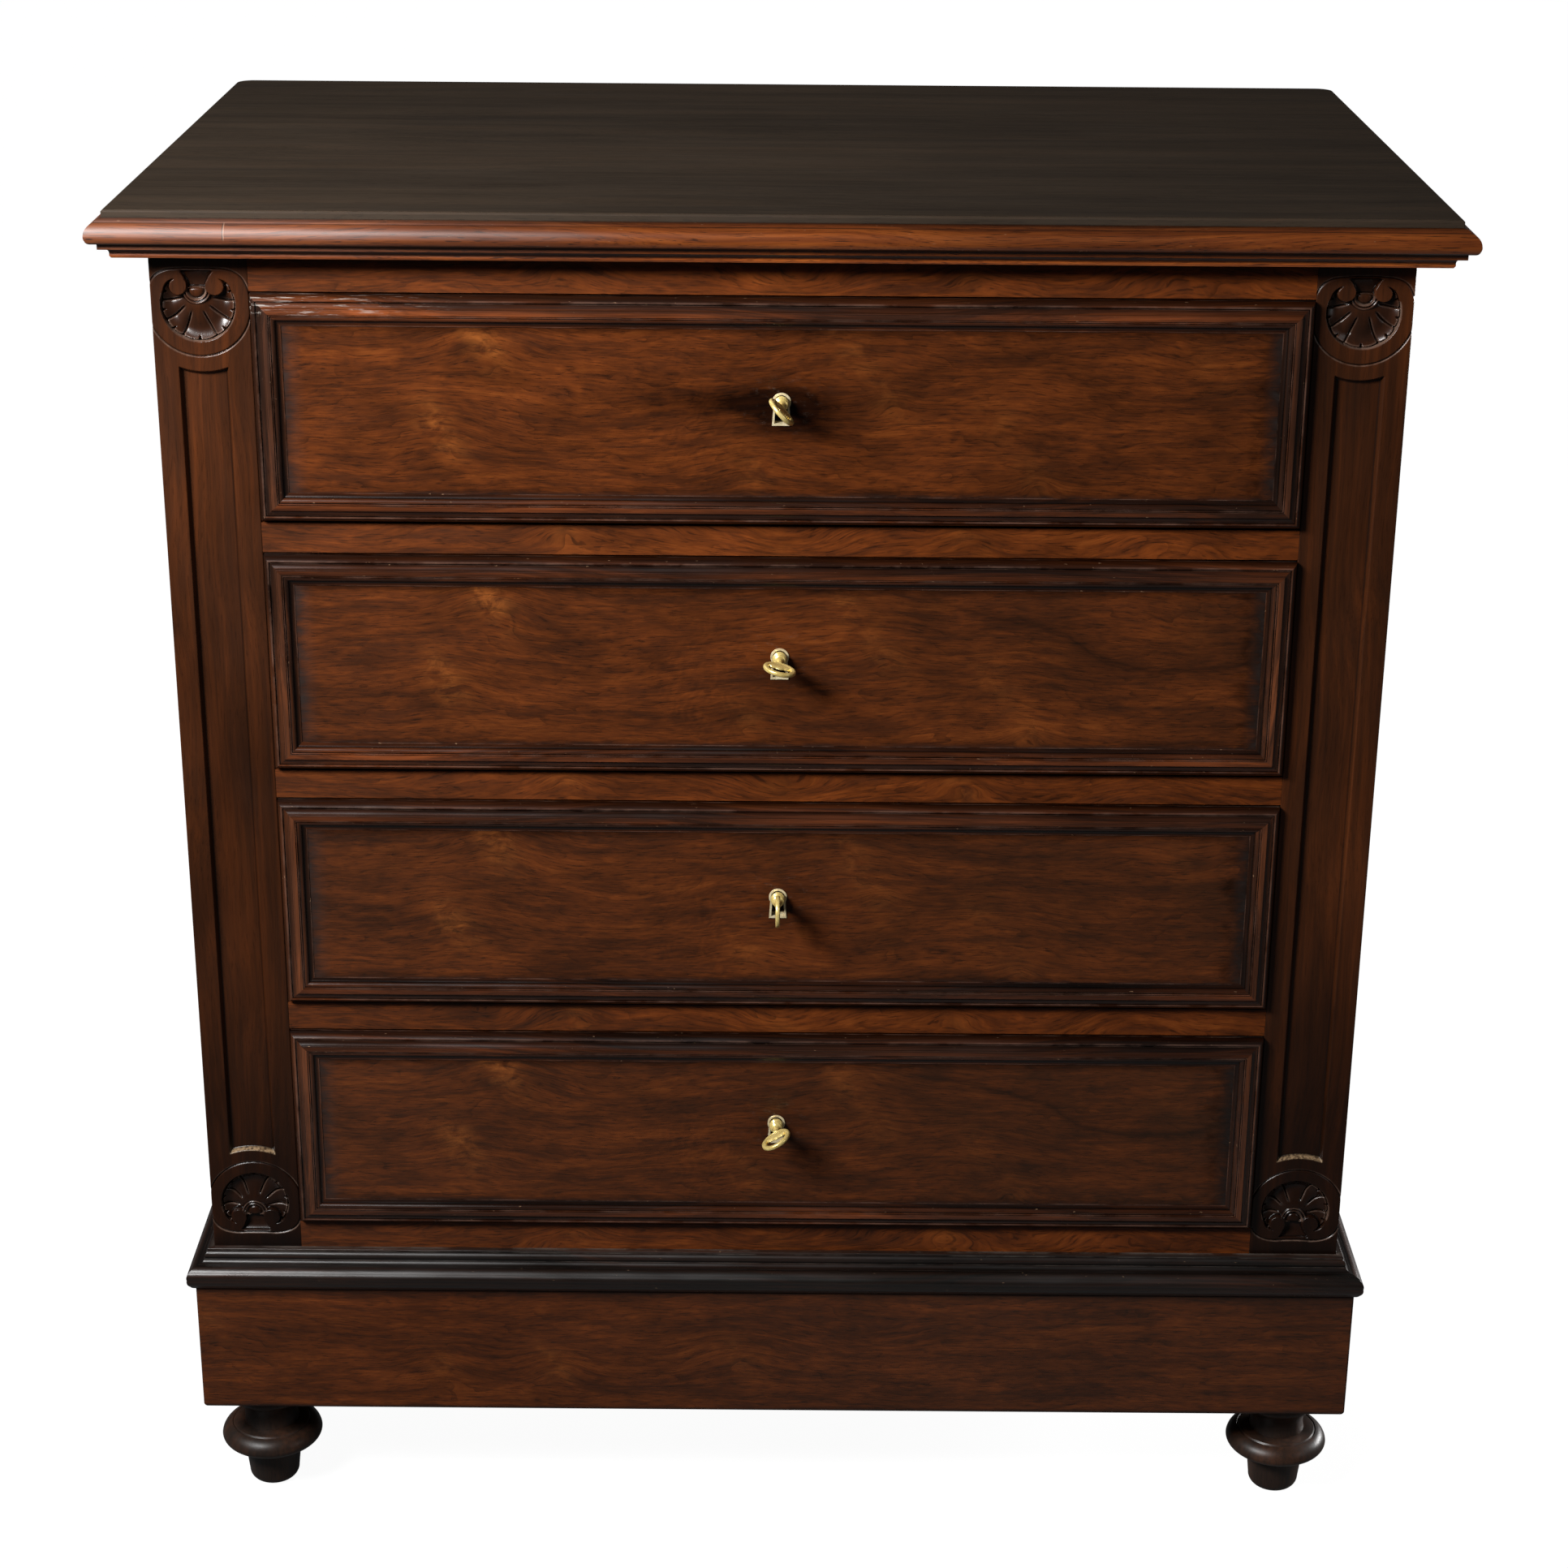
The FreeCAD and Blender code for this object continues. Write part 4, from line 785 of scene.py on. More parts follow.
# Painted light on the lower part of the cove, which the torus shades, and painted shade in its quirk
COVE_SHADING = (
    (1015.0, 3.0), (1017.0, 2.9), (1019.5, 2.4), (1021.0, 0.7), (1022.0, 0.15), (1022.3, 0.9),
    (1025.8, 1.0), (1026.5, 0.2),
)
BASE_SHADING = (
    (200.0, 0.5), (203.0, 0.9), (215.0, 1.0), (218.6, 1.0), (219.0, 0.3), (219.4, 0.6), (222.2, 1.0),
    (222.6, 0.3), (223.4, 0.5), (224.5, 1.0), (227.8, 1.0), (228.2, 0.3), (228.6, 0.9), (230.4, 1.2),
)


def cornice_torus_outline():
    lip = TOP_SURFACE - TOP_LIP
    return section((14.0, CARCASS_TOP), (14.0, lip), (25.0, lip), ((29.5, lip - 2.6), 0.5),
                   ((35.85, lip - 10.5), 1.6), ((35.2, CARCASS_TOP + 2.6), 0.35),
                   ((32.5, CARCASS_TOP), 0.5))


def cornice_cove_outline():
    fillet = CARCASS_TOP - 4.5
    return section((0.0, SOFFIT), (0.0, CARCASS_TOP), (28.2, CARCASS_TOP),
                   ((28.5, CARCASS_TOP - 0.4), 0.1), (28.5, fillet + 0.4), ((28.0, fillet), 0.12),
                   (24.5, fillet), ((21.8, SOFFIT + 2.6), -1.0), ((21.2, SOFFIT + 0.9), 0.25),
                   ((20.0, SOFFIT), 0.3))


def plinth_moulding_outline():
    top = MOULDING_TOP
    return section((0.0, PLINTH_TOP), (0.0, top), (4.2, top), ((4.8, top - 0.6), 0.15),
                   (4.8, top - 2.0), (3.8, top - 2.2), ((6.6, top - 7.0), 1.1), (6.6, top - 7.8),
                   (7.0, top - 8.0), ((11.2, top - 11.2), -0.9), (11.6, top - 11.4),
                   ((17.6, top - 14.6), 0.9), ((19.6, top - 20.4), 1.0), ((17.6, top - 27.0), 0.9),
                   ((13.8, PLINTH_TOP), 0.45))


def drawer_frame_outline():
    """Thumb, quirk, hollow, flat, quirk, bead, quirk, ridge, quirk and cove, inwards from the edge."""
    return section((0.0, 0.0), (0.0, 2.0), ((3.3, 7.9), 0.95), (4.2, 7.8), (4.45, 6.9), (4.9, 6.9),
                   (5.0, 7.6), ((9.0, 9.7), -0.45), ((9.8, 10.3), 0.25), ((13.2, 10.5), 0.12),
                   (13.35, 9.5), (13.65, 9.5), (13.75, 10.3), (14.25, 10.2), (14.35, 9.0), (14.75, 9.0),
                   (14.9, 9.6), ((17.9, 7.7), 0.55), (18.1, 7.1), (18.4, 7.05), ((21.1, 6.5), -0.25),
                   (21.6, 6.35), (21.6, 0.0))


def make_mouldings(woods):
    plan = (
        ("cornice_torus", cornice_torus_outline(), TORUS_SHADING, "cornice", "red_wood"),
        ("cornice_cove", cornice_cove_outline(), COVE_SHADING, "cornice", "red_wood"),
        ("plinth_moulding", plinth_moulding_outline(), BASE_SHADING, "base", "dark_wood"),
    )
    for node, outline, shading, look, slot in plan:
        stand_for(surround(node + "_fine", outline, shading, woods[look]), node, "carcass")
    for number in DRAWERS:
        foot = opening_foot(number)
        low = foot + DRAWER_FOOT_GAP + FRAME_FOOT_RISE
        high = foot + OPENING_HEIGHT - DRAWER_TOP_GAP
        node = "drawer_%d_frame" % number
        piece = drawer_frame(node + "_fine", low, high, woods["frame"])
        stand_for(piece, node, "drawer_%d" % number)


# Carved pilasters, as height fields over the face of the board

# Centres of the medallions. Within one, a runs to the right and b from its ring's centre to its hub.
LOW_CENTRE = MOULDING_TOP + MEDALLION_INSET
HIGH_CENTRE = SOFFIT - MEDALLION_INSET
HALF_PILASTER = PILASTER_WIDTH / 2
# Medallion: radii of the ring and of the scribed outline, and the line that cuts both flat
RING = 26.4
OUTER_RING = 36.5
FLAT_LINE = 24.4
# Centre and radius of a scroll's eye, and where the hub and the middle of the fan lie
VOLUTE = (13.1, 12.5)
EYE_RADIUS = 5.8
HUB_UP = 9.9
FAN_UP = 4.5
# The grooves between the lobes, in degrees round the middle of the fan
GROOVES = (-121.0, -89.0, -56.5, -24.0, 24.0, 56.5, 89.0, 121.0)
GROOVE_DEPTH = 1.7
CHANNEL_FOOT = 13.5
CHANNEL_DEPTH = 5.2
SCRIBED_DEPTH = 1.1
DEEPEST = 7.5
# Radii of the scroll's back and of the recess behind it, by the angle round the scroll's eye
SCROLL_ANGLES = (-110.0, -28.0, 0.0, 46.0, 72.0, 92.0, 112.0)
SCROLL_RADII = (5.8, 6.1, 6.4, 7.1, 9.4, 12.2, 14.0)
BAND_ANGLES = (95.0, 101.0, 134.0, 153.0, 175.0, 196.0, 215.0)
BAND_RADII = (5.7, 5.8, 7.0, 8.1, 9.5, 11.2, 15.5)
# The hub from its middle outwards: ball, trough, rim, quirk and outer rim
HUB_RADII = (0.0, 2.5, 4.4, 5.1, 5.6, 6.2, 7.1, 7.6, 8.1, 8.5, 9.2, 9.7, 10.3)
HUB_DEPTHS = (1.6, 1.7, 2.2, 3.0, 3.6, 3.1, 1.5, 1.5, 2.6, 2.5, 1.7, 1.8, 2.9)
# Each medallion was cut by hand: how far its ring, and then its hub and scrolls, sit off the drawn
# place, for the upper and then the lower one
CARVER_ERRORS = {
    "left": (((-1.1, 0.7), (-1.6, 0.0)), ((0.3, 0.0), (-1.8, -1.2))),
    "right": (((-0.4, 0.7), (0.4, 2.4)), ((0.0, 0.2), (-1.4, -2.2))),
}
# How far from the ring's centre the error of the hub and the scrolls fades out
ERROR_REACH = 29.0
# Sunk panel, hollowed round the medallions at both ends
PANEL_HALF = 17.5
PANEL_DEPTH = 4.0
PANEL_END_RADIUS = 46.8
PANEL_SLOPE = 2.2
# The grid: its pitch, how far it reaches past a medallion's centre, its lines at the rounded edges,
# and how far the carving is read to each side of a point to smooth it
GRID = 0.42
GRID_REACH = 53.0
GRID_EDGE = (0.0, 0.12, 0.3, 0.55, 0.85)
READINGS = (-0.15, 0.0, 0.15)
ROUND_OVER = 0.7
# Height over the points round it, summed over four of them, that counts as standing out in full
FULL_RELIEF = 1.6


def ease(value, low, high):
    share = np.clip((value - low) / (high - low), 0.0, 1.0)
    return share * share * (3 - 2 * share)


def ridge(value, half_width):
    """1 on a line, falling smoothly to 0 at half_width."""
    return 0.5 + 0.5 * np.cos(np.clip(value / half_width, -1, 1) * math.pi)


def lobe(radius, from_fan, turn, low, high):
    """Depth and paleness that the lobe between two grooves adds."""
    inside = (turn >= low) & (turn < high)
    from_crest = np.abs(turn - (low + high) / 2)
    share = from_crest / ((high - low) / 2)
    crown = 0.45 - 1.25 * (1 - share ** 2)
    mouth = np.clip((radius - 22.4) / 3.4, 0.02, 1.0) * 1.3
    aside = np.radians(from_crest) * from_fan
    notch = np.clip(1.2 - aside / mouth, 0.0, 1.0) * ease(radius, 22.2, 24.4)
    end = 25.0 - 0.8 * share ** 4 + 0.35 * share
    cut = crown * ease(from_fan, 9.0, 18.0) + 3.2 * notch + 2.6 * ease(radius, end, end + 0.5)
    # Pale at the lobe's rim: rubbed, and painted highlight where the rim catches the light.
    rubbed_and_highlit = 0.5 * ridge(radius - end + 0.5, 0.7) * (1 - notch)
    return np.where(inside, cut, 0.0), np.where(inside, rubbed_and_highlit, 0.0)


def shell_depth(a, b):
    """Depth and paleness of the lobed shell, without its scrolls."""
    radius = np.hypot(a, b)
    depth = 2.4 + 3.3 * ease(radius, 1.0, 19.0) - 3.7 * np.clip((radius - 17.0) / 9.0, 0, 1) ** 2
    pale = np.zeros_like(depth)
    from_fan = np.hypot(a, b - FAN_UP)
    turn = np.degrees(np.arctan2(a, FAN_UP - b))
    sway = 5.0 * np.sin((from_fan - 9.0) / 20.0 * math.pi)
    turn = turn + sway * np.sign(turn) * ease(np.abs(turn), 8.0, 40.0)
    for low, high in zip(GROOVES[:-1], GROOVES[1:]):
        cut, rubbed_and_highlit = lobe(radius, from_fan, turn, low, high)
        depth = depth + cut
        pale = pale + rubbed_and_highlit
    run = ease(from_fan, 9.5, 14.0)
    for groove in GROOVES:
        aside = np.radians(turn - groove) * from_fan
        depth = depth + GROOVE_DEPTH * ridge(aside, 0.95) * run
        # Painted highlight on the edges beside each groove.
        pale = pale + 0.55 * ridge(np.abs(aside) - 1.0, 0.5) * run
    return depth, pale


def hub_depth(a, b, depth, pale):
    """The ball between the scrolls and the two rims of its arch, flattened towards the channel."""
    rise = b - HUB_UP
    away = np.hypot(a, np.where(rise > 0, rise * 3.2, rise))
    made = np.interp(away, HUB_RADII, HUB_DEPTHS)
    inside = 1 - ease(away, 9.7, 10.5)
    # The rims of the hub's arch are pale as painted highlight, where their walls catch the light.
    rims = 0.8 * ridge(away - 6.6, 1.2) + 0.6 * ridge(away - 9.4, 0.6)
    return depth + (made - depth) * inside, pale * (1 - inside) + rims * inside


def scroll_flush(a, b):
    """Millimetres inside the parts flush with the face: the band, the scrolls and their eyes."""
    flush = np.maximum(np.hypot(a, b) - RING, b - FLAT_LINE)
    for side in (-1, 1):
        u = side * a - VOLUTE[0]
        v = b - VOLUTE[1]
        away = np.hypot(u, v)
        angle = np.degrees(np.arctan2(v, -u))
        wide = np.interp(angle, SCROLL_ANGLES, SCROLL_RADII)
        scroll = np.where((angle > -115) & (angle < 112), wide - away, EYE_RADIUS - away)
        whole_angle = np.where(angle < -140, angle + 360, angle)
        inner = np.interp(whole_angle, BAND_ANGLES, BAND_RADII)
        band = np.where((whole_angle > 95) & (whole_angle < 215) & (b > 2), away - inner, -9.0)
        band = np.minimum(band, np.where(side * a > 0, 9.0, -9.0))
        flush = np.maximum(flush, np.maximum(scroll, band))
    return flush


def outline_distance(a, b):
    """Millimetres outside the scribed outline: a circle cut flat, with eased corners."""
    outside = np.hypot(a, b) - OUTER_RING
    above = b - (FLAT_LINE + 1.2)
    corner = 9.0
    mix = np.clip(0.5 + 0.5 * (outside - above) / corner, 0, 1)
    return above + (outside - above) * mix + corner * mix * (1 - mix)


def medallion(a, b):
    """Depth of a medallion under the pilaster's face, and where its arrises are pale: rubbed, and painted
    highlight where they catch the light.
    """
    depth, pale = hub_depth(a, b, *shell_depth(a, b))
    reach = FLAT_LINE - CHANNEL_FOOT
    rise = np.clip(b - CHANNEL_FOOT, 0, reach) / reach
    channel = CHANNEL_DEPTH * np.sqrt(np.clip(1 - rise ** 2, 0, 1))
    in_channel = ease(b, 11.4, 12.6) * (np.abs(a) < 15)
    depth = depth + (channel - depth) * in_channel
    pale = pale * (1 - in_channel)
    flush = scroll_flush(a, b)
    depth = np.clip(depth, 0.0, DEEPEST) * (1 - ease(flush, -0.8, 0.05))
    # Pale on the ring's wall away from the hub: rubbed, and painted highlight.
    ring_side = ridge(np.hypot(a, b) - RING + 0.4, 0.7) * (b < 8)
    pale = np.where(flush > -0.15, 0.0, pale * (1 - ring_side)) + ring_side
    line = outline_distance(a, b)
    scribed = (flush > 0) | (b < 10)
    depth = depth + np.where(scribed, SCRIBED_DEPTH * ridge(line, 0.85), 0.0)
    # The scribed outline's edge is pale: rubbed, and painted highlight.
    pale = pale + np.where(scribed, 0.9 * ridge(line - 0.75, 0.55), 0.0)
    return depth, np.clip(pale, 0.0, 1.0)


def panel_depth(a, up):
    """Depth of the sunk panel, and its lower end, where the polish is rubbed off and the up-facing slope
    is painted with highlight.
    """
    from_foot = np.hypot(a, up - LOW_CENTRE) - PANEL_END_RADIUS
    from_head = np.hypot(a, up - HIGH_CENTRE) - PANEL_END_RADIUS
    aside = PANEL_HALF - np.abs(a)
    inside = np.minimum(aside, np.minimum(from_foot, from_head))
    inside = np.where((up > LOW_CENTRE) & (up < HIGH_CENTRE), inside, -1.0)
    depth = PANEL_DEPTH * np.clip(inside / PANEL_SLOPE, 0, 1) ** 0.85
    bare = ease(from_foot, -0.7, 0.2) * (1 - ease(from_foot, 0.9, 2.4)) * ease(aside, -0.6, 0.4)
    return depth, bare * (up < LOW_CENTRE + 80)


def carved_face(a, up, errors):
    """Depth, bareness and paleness of the pilaster's face at places across and up it."""
    depth, bare = panel_depth(a, up)
    pale = np.zeros_like(depth)
    for centre, way, (ring_error, hub_error) in zip((HIGH_CENTRE, LOW_CENTRE), (1, -1), errors):
        ring_a = a - ring_error[0]
        ring_b = way * (up - centre) - ring_error[1]
        inner = np.clip(1 - np.hypot(ring_a, ring_b) / ERROR_REACH, 0, 1) ** 0.5
        cut, rubbed_and_highlit = medallion(ring_a - hub_error[0] * inner, ring_b - hub_error[1] * inner)
        near = np.abs(up - centre) < MEDALLION_INSET + 0.1
        depth = np.where(near, cut, depth)
        bare = np.where(near, 0.0, bare)
        pale = np.where(near, rubbed_and_highlit, pale)
    return depth, bare, pale


def pilaster_grid():
    """Places across the pilaster and up it: close together in the medallions and at the edges."""
    edge = np.array(GRID_EDGE)
    fine = np.arange(1.2 - HALF_PILASTER, HALF_PILASTER - 1.0, GRID)
    across = np.sort(np.concatenate((edge - HALF_PILASTER, fine, HALF_PILASTER - edge)))
    lower = np.arange(MOULDING_TOP - 1.0, LOW_CENTRE + GRID_REACH, GRID)
    upper = np.arange(HIGH_CENTRE - GRID_REACH, SOFFIT + 1.0, GRID)
    middle = np.linspace(lower[-1] + 4, upper[0] - 4, 40)
    return np.meshgrid(across, np.concatenate(((PLINTH_TOP,), lower, middle, upper, (CARCASS_TOP,))))


def standing_out(depth):
    """Where a carved face stands out (1) or lies hollow (-1), against the points two lines off."""
    relief = np.zeros_like(depth)
    inner = slice(2, -2)
    around = depth[:-4, inner] + depth[4:, inner] + depth[inner, :-4] + depth[inner, 4:]
    relief[inner, inner] = (around - 4 * depth[inner, inner]) / FULL_RELIEF
    return np.clip(relief, -1, 1)


def carve_pilaster(name, side, material, errors):
    """One pilaster; side is -1 on the left."""
    a, up = pilaster_grid()
    readings = [carved_face(a + da, up + dz, errors) for da in READINGS for dz in READINGS]
    depth, bare, pale = (sum(layer) / len(readings) for layer in zip(*readings))
    inset = np.clip(ROUND_OVER - (HALF_PILASTER - np.abs(a)), 0.0, ROUND_OVER)
    depth = depth + ROUND_OVER - np.sqrt(ROUND_OVER ** 2 - inset ** 2)
    x = side * (HALF_OPENING + HALF_PILASTER) + a
    front = np.stack((x * MM, FACE_Y + depth * MM, up * MM), axis=-1).reshape(-1, 3)
    index = np.arange(a.size).reshape(a.shape)
    rim = np.concatenate((index[0], index[1:, -1], index[-1, -2::-1], index[-2:0:-1, 0]))
    back = front[rim].copy()
    back[:, 1] = FACE_Y + PILASTER_THICKNESS * MM
    rear = len(front) + np.arange(len(rim))
    walls = np.stack((rim, np.roll(rim, -1), np.roll(rear, -1), rear), axis=-1)
    faces = grid_faces(*a.shape) + walls.tolist() + [rear.tolist()]
    layers = {"relief": standing_out(depth), "bare": bare, "pale": pale}
    told = {word: np.append(layer, np.zeros(len(rim))) for word, layer in layers.items()}
    points = np.vstack((front, back)).tolist()
    return new_piece(name, points, faces, [0] * len(faces), (material,), sharp=60.0, told=told)


def make_pilasters(material):
    for word, side in (("left", -1), ("right", 1)):
        node = "pilaster_" + word
        piece = carve_pilaster(node + "_carved", side, material, CARVER_ERRORS[word])
        stand_for(piece, node, "carcass")


def pilaster_wood(name):
    """Upright grain, with painted shade toward the floor, at both ends and in the carving's hollows, pale
    arrises that are rubbed and painted highlight, and the panel's foot worn to bare wood and painted with
    highlight.
    """
    material, g = new_material(name)
    fields = grain_fields(g, "z", 26.0, 0.0)
    along, bands, lines, pores, cloud = fields
    colour = board_colour(g, fields, POST_COLOURS, 1.3, 0.7, (0.55, 1.25), 0.68)
    x, y, z = g.place_mm()
    sunk = y - FACE_Y / MM
    half = (SOFFIT - MOULDING_TOP) / 2
    from_middle = abs(z - (MOULDING_TOP + half))
    carved = g.math("GREATER_THAN", from_middle, half - 2 * MEDALLION_INSET)
    # Painted shade: darker toward the floor, darker the deeper the carving, darker at both ends under the
    # cornice and at the moulding, and darker in the hollows.
    colour = g.shade(colour, g.span(z, MOULDING_TOP, 620.0, 0.42, 1.0, smooth=True))
    colour = g.blend(g.span(sunk, 0.6, 4.6, 0.0, 0.72) * carved, colour, EBONY)
    colour = g.shade(colour, g.span(from_middle, half - 14.0, half - 2.0, 1.0, 0.45))
    colour = g.shade(colour, g.span(g.told("relief"), -0.7, -0.05, 0.3, 1.0))
    patchy = g.noise(g.stretch(along, (60, 140, 140)), detail=3)
    # Pale arrises of the carving: rubbed, and painted highlight.
    colour = g.blend(g.told("pale") * g.span(patchy, 0.36, 0.6, 0.25, 0.85), colour, RUBBED_AND_HIGHLIT)
    # The panel's foot: worn bare wood, and painted highlight on its up-facing slope.
    rubbed_and_highlit = g.noise(g.stretch(along, (300, 500, 500)), detail=3)
    colour = g.blend(g.told("bare") * g.span(rubbed_and_highlit, 0.36, 0.56, 0.15, 0.9), colour, HONEY)
    gloss = g.noise(g.stretch(along, (12, 40, 40)), detail=3)
    rough = g.span(gloss, 0.3, 0.7, 0.27, 0.36) - g.span(sunk, 0.6, 3.0, 0.0, 0.06) * carved
    finish_material(g, colour, rough, g.bump(pores * 0.6 + lines, POST_PORE_RELIEF), specular=0.26)
    return material


# Keys, as points (thick, out, up) before they turn to their own angles

# Angle at which each drawer's key stands, in degrees
KEY_TURNS = (-43.0, -77.0, 0.0, 60.0)
BRASS_SLOT = 0
IRON_SLOT = 1
PIN_BACK = -23.5
PIN_RADIUS = 1.75
SHANK_BACK = -21.5
SHANK_RADIUS = 2.8
COLLAR_BACK = 8.0
COLLAR_RADIUS = 3.9
# Radius and width of each ring of the collar
COLLAR_RINGS = ((5.0, 1.7), (5.4, 2.0), (5.1, 1.9), (4.6, 1.7))
NECK_LENGTH = 4.5
NECK_RADIUS = 2.3
STEM_TURNS = 48
BOW_OUTER = 12.0
BOW_INNER = 8.3
BOW_THICKNESS = 3.4
BOW_CENTRE = 33.8
BOW_TURNS = 64
BOW_SIDES = 16
# The web fills the near half of the bow: its reach up and down, half its thickness, the share of its
# depth from which its front rounds off, and its columns and rows of points
WEB_REACH = BOW_INNER + 0.6
WEB_HALF = 1.35
WEB_CROWN = 0.75
WEB_COLUMNS = 30
WEB_ROWS = 6
# The bit, a plate with a notch for the ward, as (out, up)
BIT_HALF = 1.0
BIT_OUTLINE = ((SHANK_BACK, 0.0), (SHANK_BACK, -6.2), (-19.97, -6.2), (-19.97, -4.6), (-18.43, -4.6),
               (-18.43, -6.2), (-16.9, -6.2), (-16.9, 0.0))


def stem_outline():
    """Stem as (radius, out): pin, dark shank, ringed collar and neck."""
    points = [(0.01, PIN_BACK), (PIN_RADIUS, PIN_BACK), (PIN_RADIUS, SHANK_BACK),
              (SHANK_RADIUS, SHANK_BACK), (SHANK_RADIUS, COLLAR_BACK), (COLLAR_RADIUS, COLLAR_BACK)]
    here = COLLAR_BACK
    for radius, wide in COLLAR_RINGS:
        ends = (COLLAR_RADIUS, here), (COLLAR_RADIUS, here + wide)
        points.extend(arc(*ends, COLLAR_RADIUS - radius, 10))
        here += wide
    points.extend(arc((COLLAR_RADIUS, here), (NECK_RADIUS, here + NECK_LENGTH), 0.7, 6))
    bow_back = BOW_CENTRE - BOW_INNER
    return points + [(NECK_RADIUS - 0.1, bow_back - 2.0), (0.01, bow_back - 1.8)]


def stem_mesh():
    """The stem turned about its axis; what lies behind the collar is iron."""
    outline = stem_outline()
    points = []
    for number in range(STEM_TURNS):
        angle = 2 * math.pi * number / STEM_TURNS
        c, s = math.cos(angle), math.sin(angle)
        points.extend((radius * s, out, radius * c) for radius, out in outline)
    slots = [IRON_SLOT if out < COLLAR_BACK else BRASS_SLOT for radius, out in outline[:-1]]
    return points, grid_faces(STEM_TURNS, len(outline), rows_close=True), slots * STEM_TURNS


def shouldered(value):
    """A sine or cosine swelled, so that a circle gets rounded shoulders."""
    return math.copysign(abs(value) ** 0.75, value)


def bow_mesh():
    """Ring of the bow: a flattened torus."""
    middle = (BOW_OUTER + BOW_INNER) / 2
    reach = (BOW_OUTER - BOW_INNER) / 2
    points = []
    for i in range(BOW_TURNS):
        angle = 2 * math.pi * i / BOW_TURNS
        for j in range(BOW_SIDES):
            around = 2 * math.pi * j / BOW_SIDES
            radial = middle + reach * shouldered(math.cos(around))
            thick = BOW_THICKNESS / 2 * shouldered(math.sin(around))
            points.append((thick, BOW_CENTRE + radial * math.cos(angle), radial * math.sin(angle)))
    faces = grid_faces(BOW_TURNS, BOW_SIDES, rows_close=True, columns_close=True)
    return points, faces, [BRASS_SLOT] * len(faces)


def web_points():
    """Right face of the web, crowned and with a scalloped front edge."""
    points = []
    for i in range(WEB_COLUMNS + 1):
        up = WEB_REACH * (2 * i / WEB_COLUMNS - 1) * 0.97
        back = BOW_CENTRE - math.sqrt(WEB_REACH ** 2 - up ** 2)
        scallop = 1.1 * abs(math.cos(up / WEB_REACH * math.pi * 1.5))
        front = BOW_CENTRE - 1.2 - 3.4 * (up / WEB_REACH) ** 2 + scallop
        front = max(front, back + 0.05)
        for j in range(WEB_ROWS + 1):
            share = j / WEB_ROWS
            past = max(0.0, (share - WEB_CROWN) / (1 - WEB_CROWN))
            thick = WEB_HALF * (1 - 0.25 * share) * math.sqrt(1 - past ** 2 * 0.98)
            points.append((thick, back + (front - back) * share, up))
    return points


def web_mesh():
    """Web that fills the near half of the bow: two faces, joined along their front and back edges."""
    right = web_points()
    left = [(-thick, out, up) for thick, out, up in right]
    sheet = grid_faces(WEB_COLUMNS + 1, WEB_ROWS + 1)
    count = len(right)
    faces = sheet + [tuple(count + i for i in corners) for corners in sheet]
    for edge in (0, WEB_ROWS):
        line = range(edge, count, WEB_ROWS + 1)
        faces.extend((a, b, count + b, count + a) for a, b in zip(line, line[1:]))
    return right + left, faces, [BRASS_SLOT] * len(faces)


def bit_mesh():
    points = [(thick, out, up) for thick in (BIT_HALF, -BIT_HALF) for out, up in BIT_OUTLINE]
    faces = prism_faces(len(BIT_OUTLINE))
    return points, faces, [IRON_SLOT] * len(faces)


def make_key(number, materials):
    keyhole = opening_foot(number) + (DRAWER_FOOT_GAP + OPENING_HEIGHT - DRAWER_TOP_GAP) / 2 + KEY_RISE
    points, faces, slots = joined((stem_mesh(), bow_mesh(), web_mesh(), bit_mesh()))
    angle = math.radians(KEY_TURNS[number - 1])
    c, s = math.cos(angle), math.sin(angle)
    placed = [spot(x * c + z * s, out, keyhole + z * c - x * s) for x, out, z in points]
    return new_piece("drawer_%d_key_fine" % number, placed, faces, slots, materials, sharp=40.0)


def make_keys(brass, iron):
    for number in DRAWERS:
        stand_for(make_key(number, (brass, iron)), "drawer_%d_key" % number, "key_%d" % number)


# Finishes of the solids that stay as they are

BARE_LOOK = dict(streaks=34, contrast=1.3, roughness=0.7, specular=0.2, pore_depth=0.35, cloudiness=0.22)


def make_woods():
    """Woods of the mouldings, each as a pair: the front or flat runs, then the side or upright ones."""
    cornice = dict(streaks=34, contrast=1.3, roughness=0.50, specular=0.85, pore_depth=0.75,
                   cloudiness=0.35, crevice=0.6, wear=0.25, wear_colour=AMBER, glossier_right=0.53)
    base = dict(streaks=40, contrast=1.1, roughness=0.30, specular=0.6, cloudiness=0.4, crevice=0.75,
                wear=0.45, wear_colour=WORN_BLACK)
    framed = dict(streaks=46, contrast=1.4, roughness=0.21, specular=0.46, pore_depth=0.3,
                  cloudiness=0.6, crevice=0.5, wear=0.45, wear_colour=WORN_FRAME, marks=scuffed)
    return {
        "cornice": (wood("cornice_wood", "x", CORNICE_COLOURS, marks=open_joint, **cornice),
                    wood("cornice_wood_side", "y", CORNICE_COLOURS, shift=2.0, **cornice)),
        "base": (wood("plinth_moulding_wood", "x", BASE_COLOURS, **base),
                 wood("plinth_moulding_wood_side", "y", BASE_COLOURS, shift=2.0, **base)),
        "frame": (wood("frame_wood", "x", FRAME_COLOURS, shift=1.0, **framed),
                  wood("frame_wood_upright", "z", UPRIGHT_COLOURS, shift=5.0, **framed)),
    }


def dress(nodes, material):
    """Give every material slot of some CAD nodes the same material."""
    for node in nodes:
        slots = NODES[node].data.materials
        for number in range(len(slots)):
            slots[number] = material


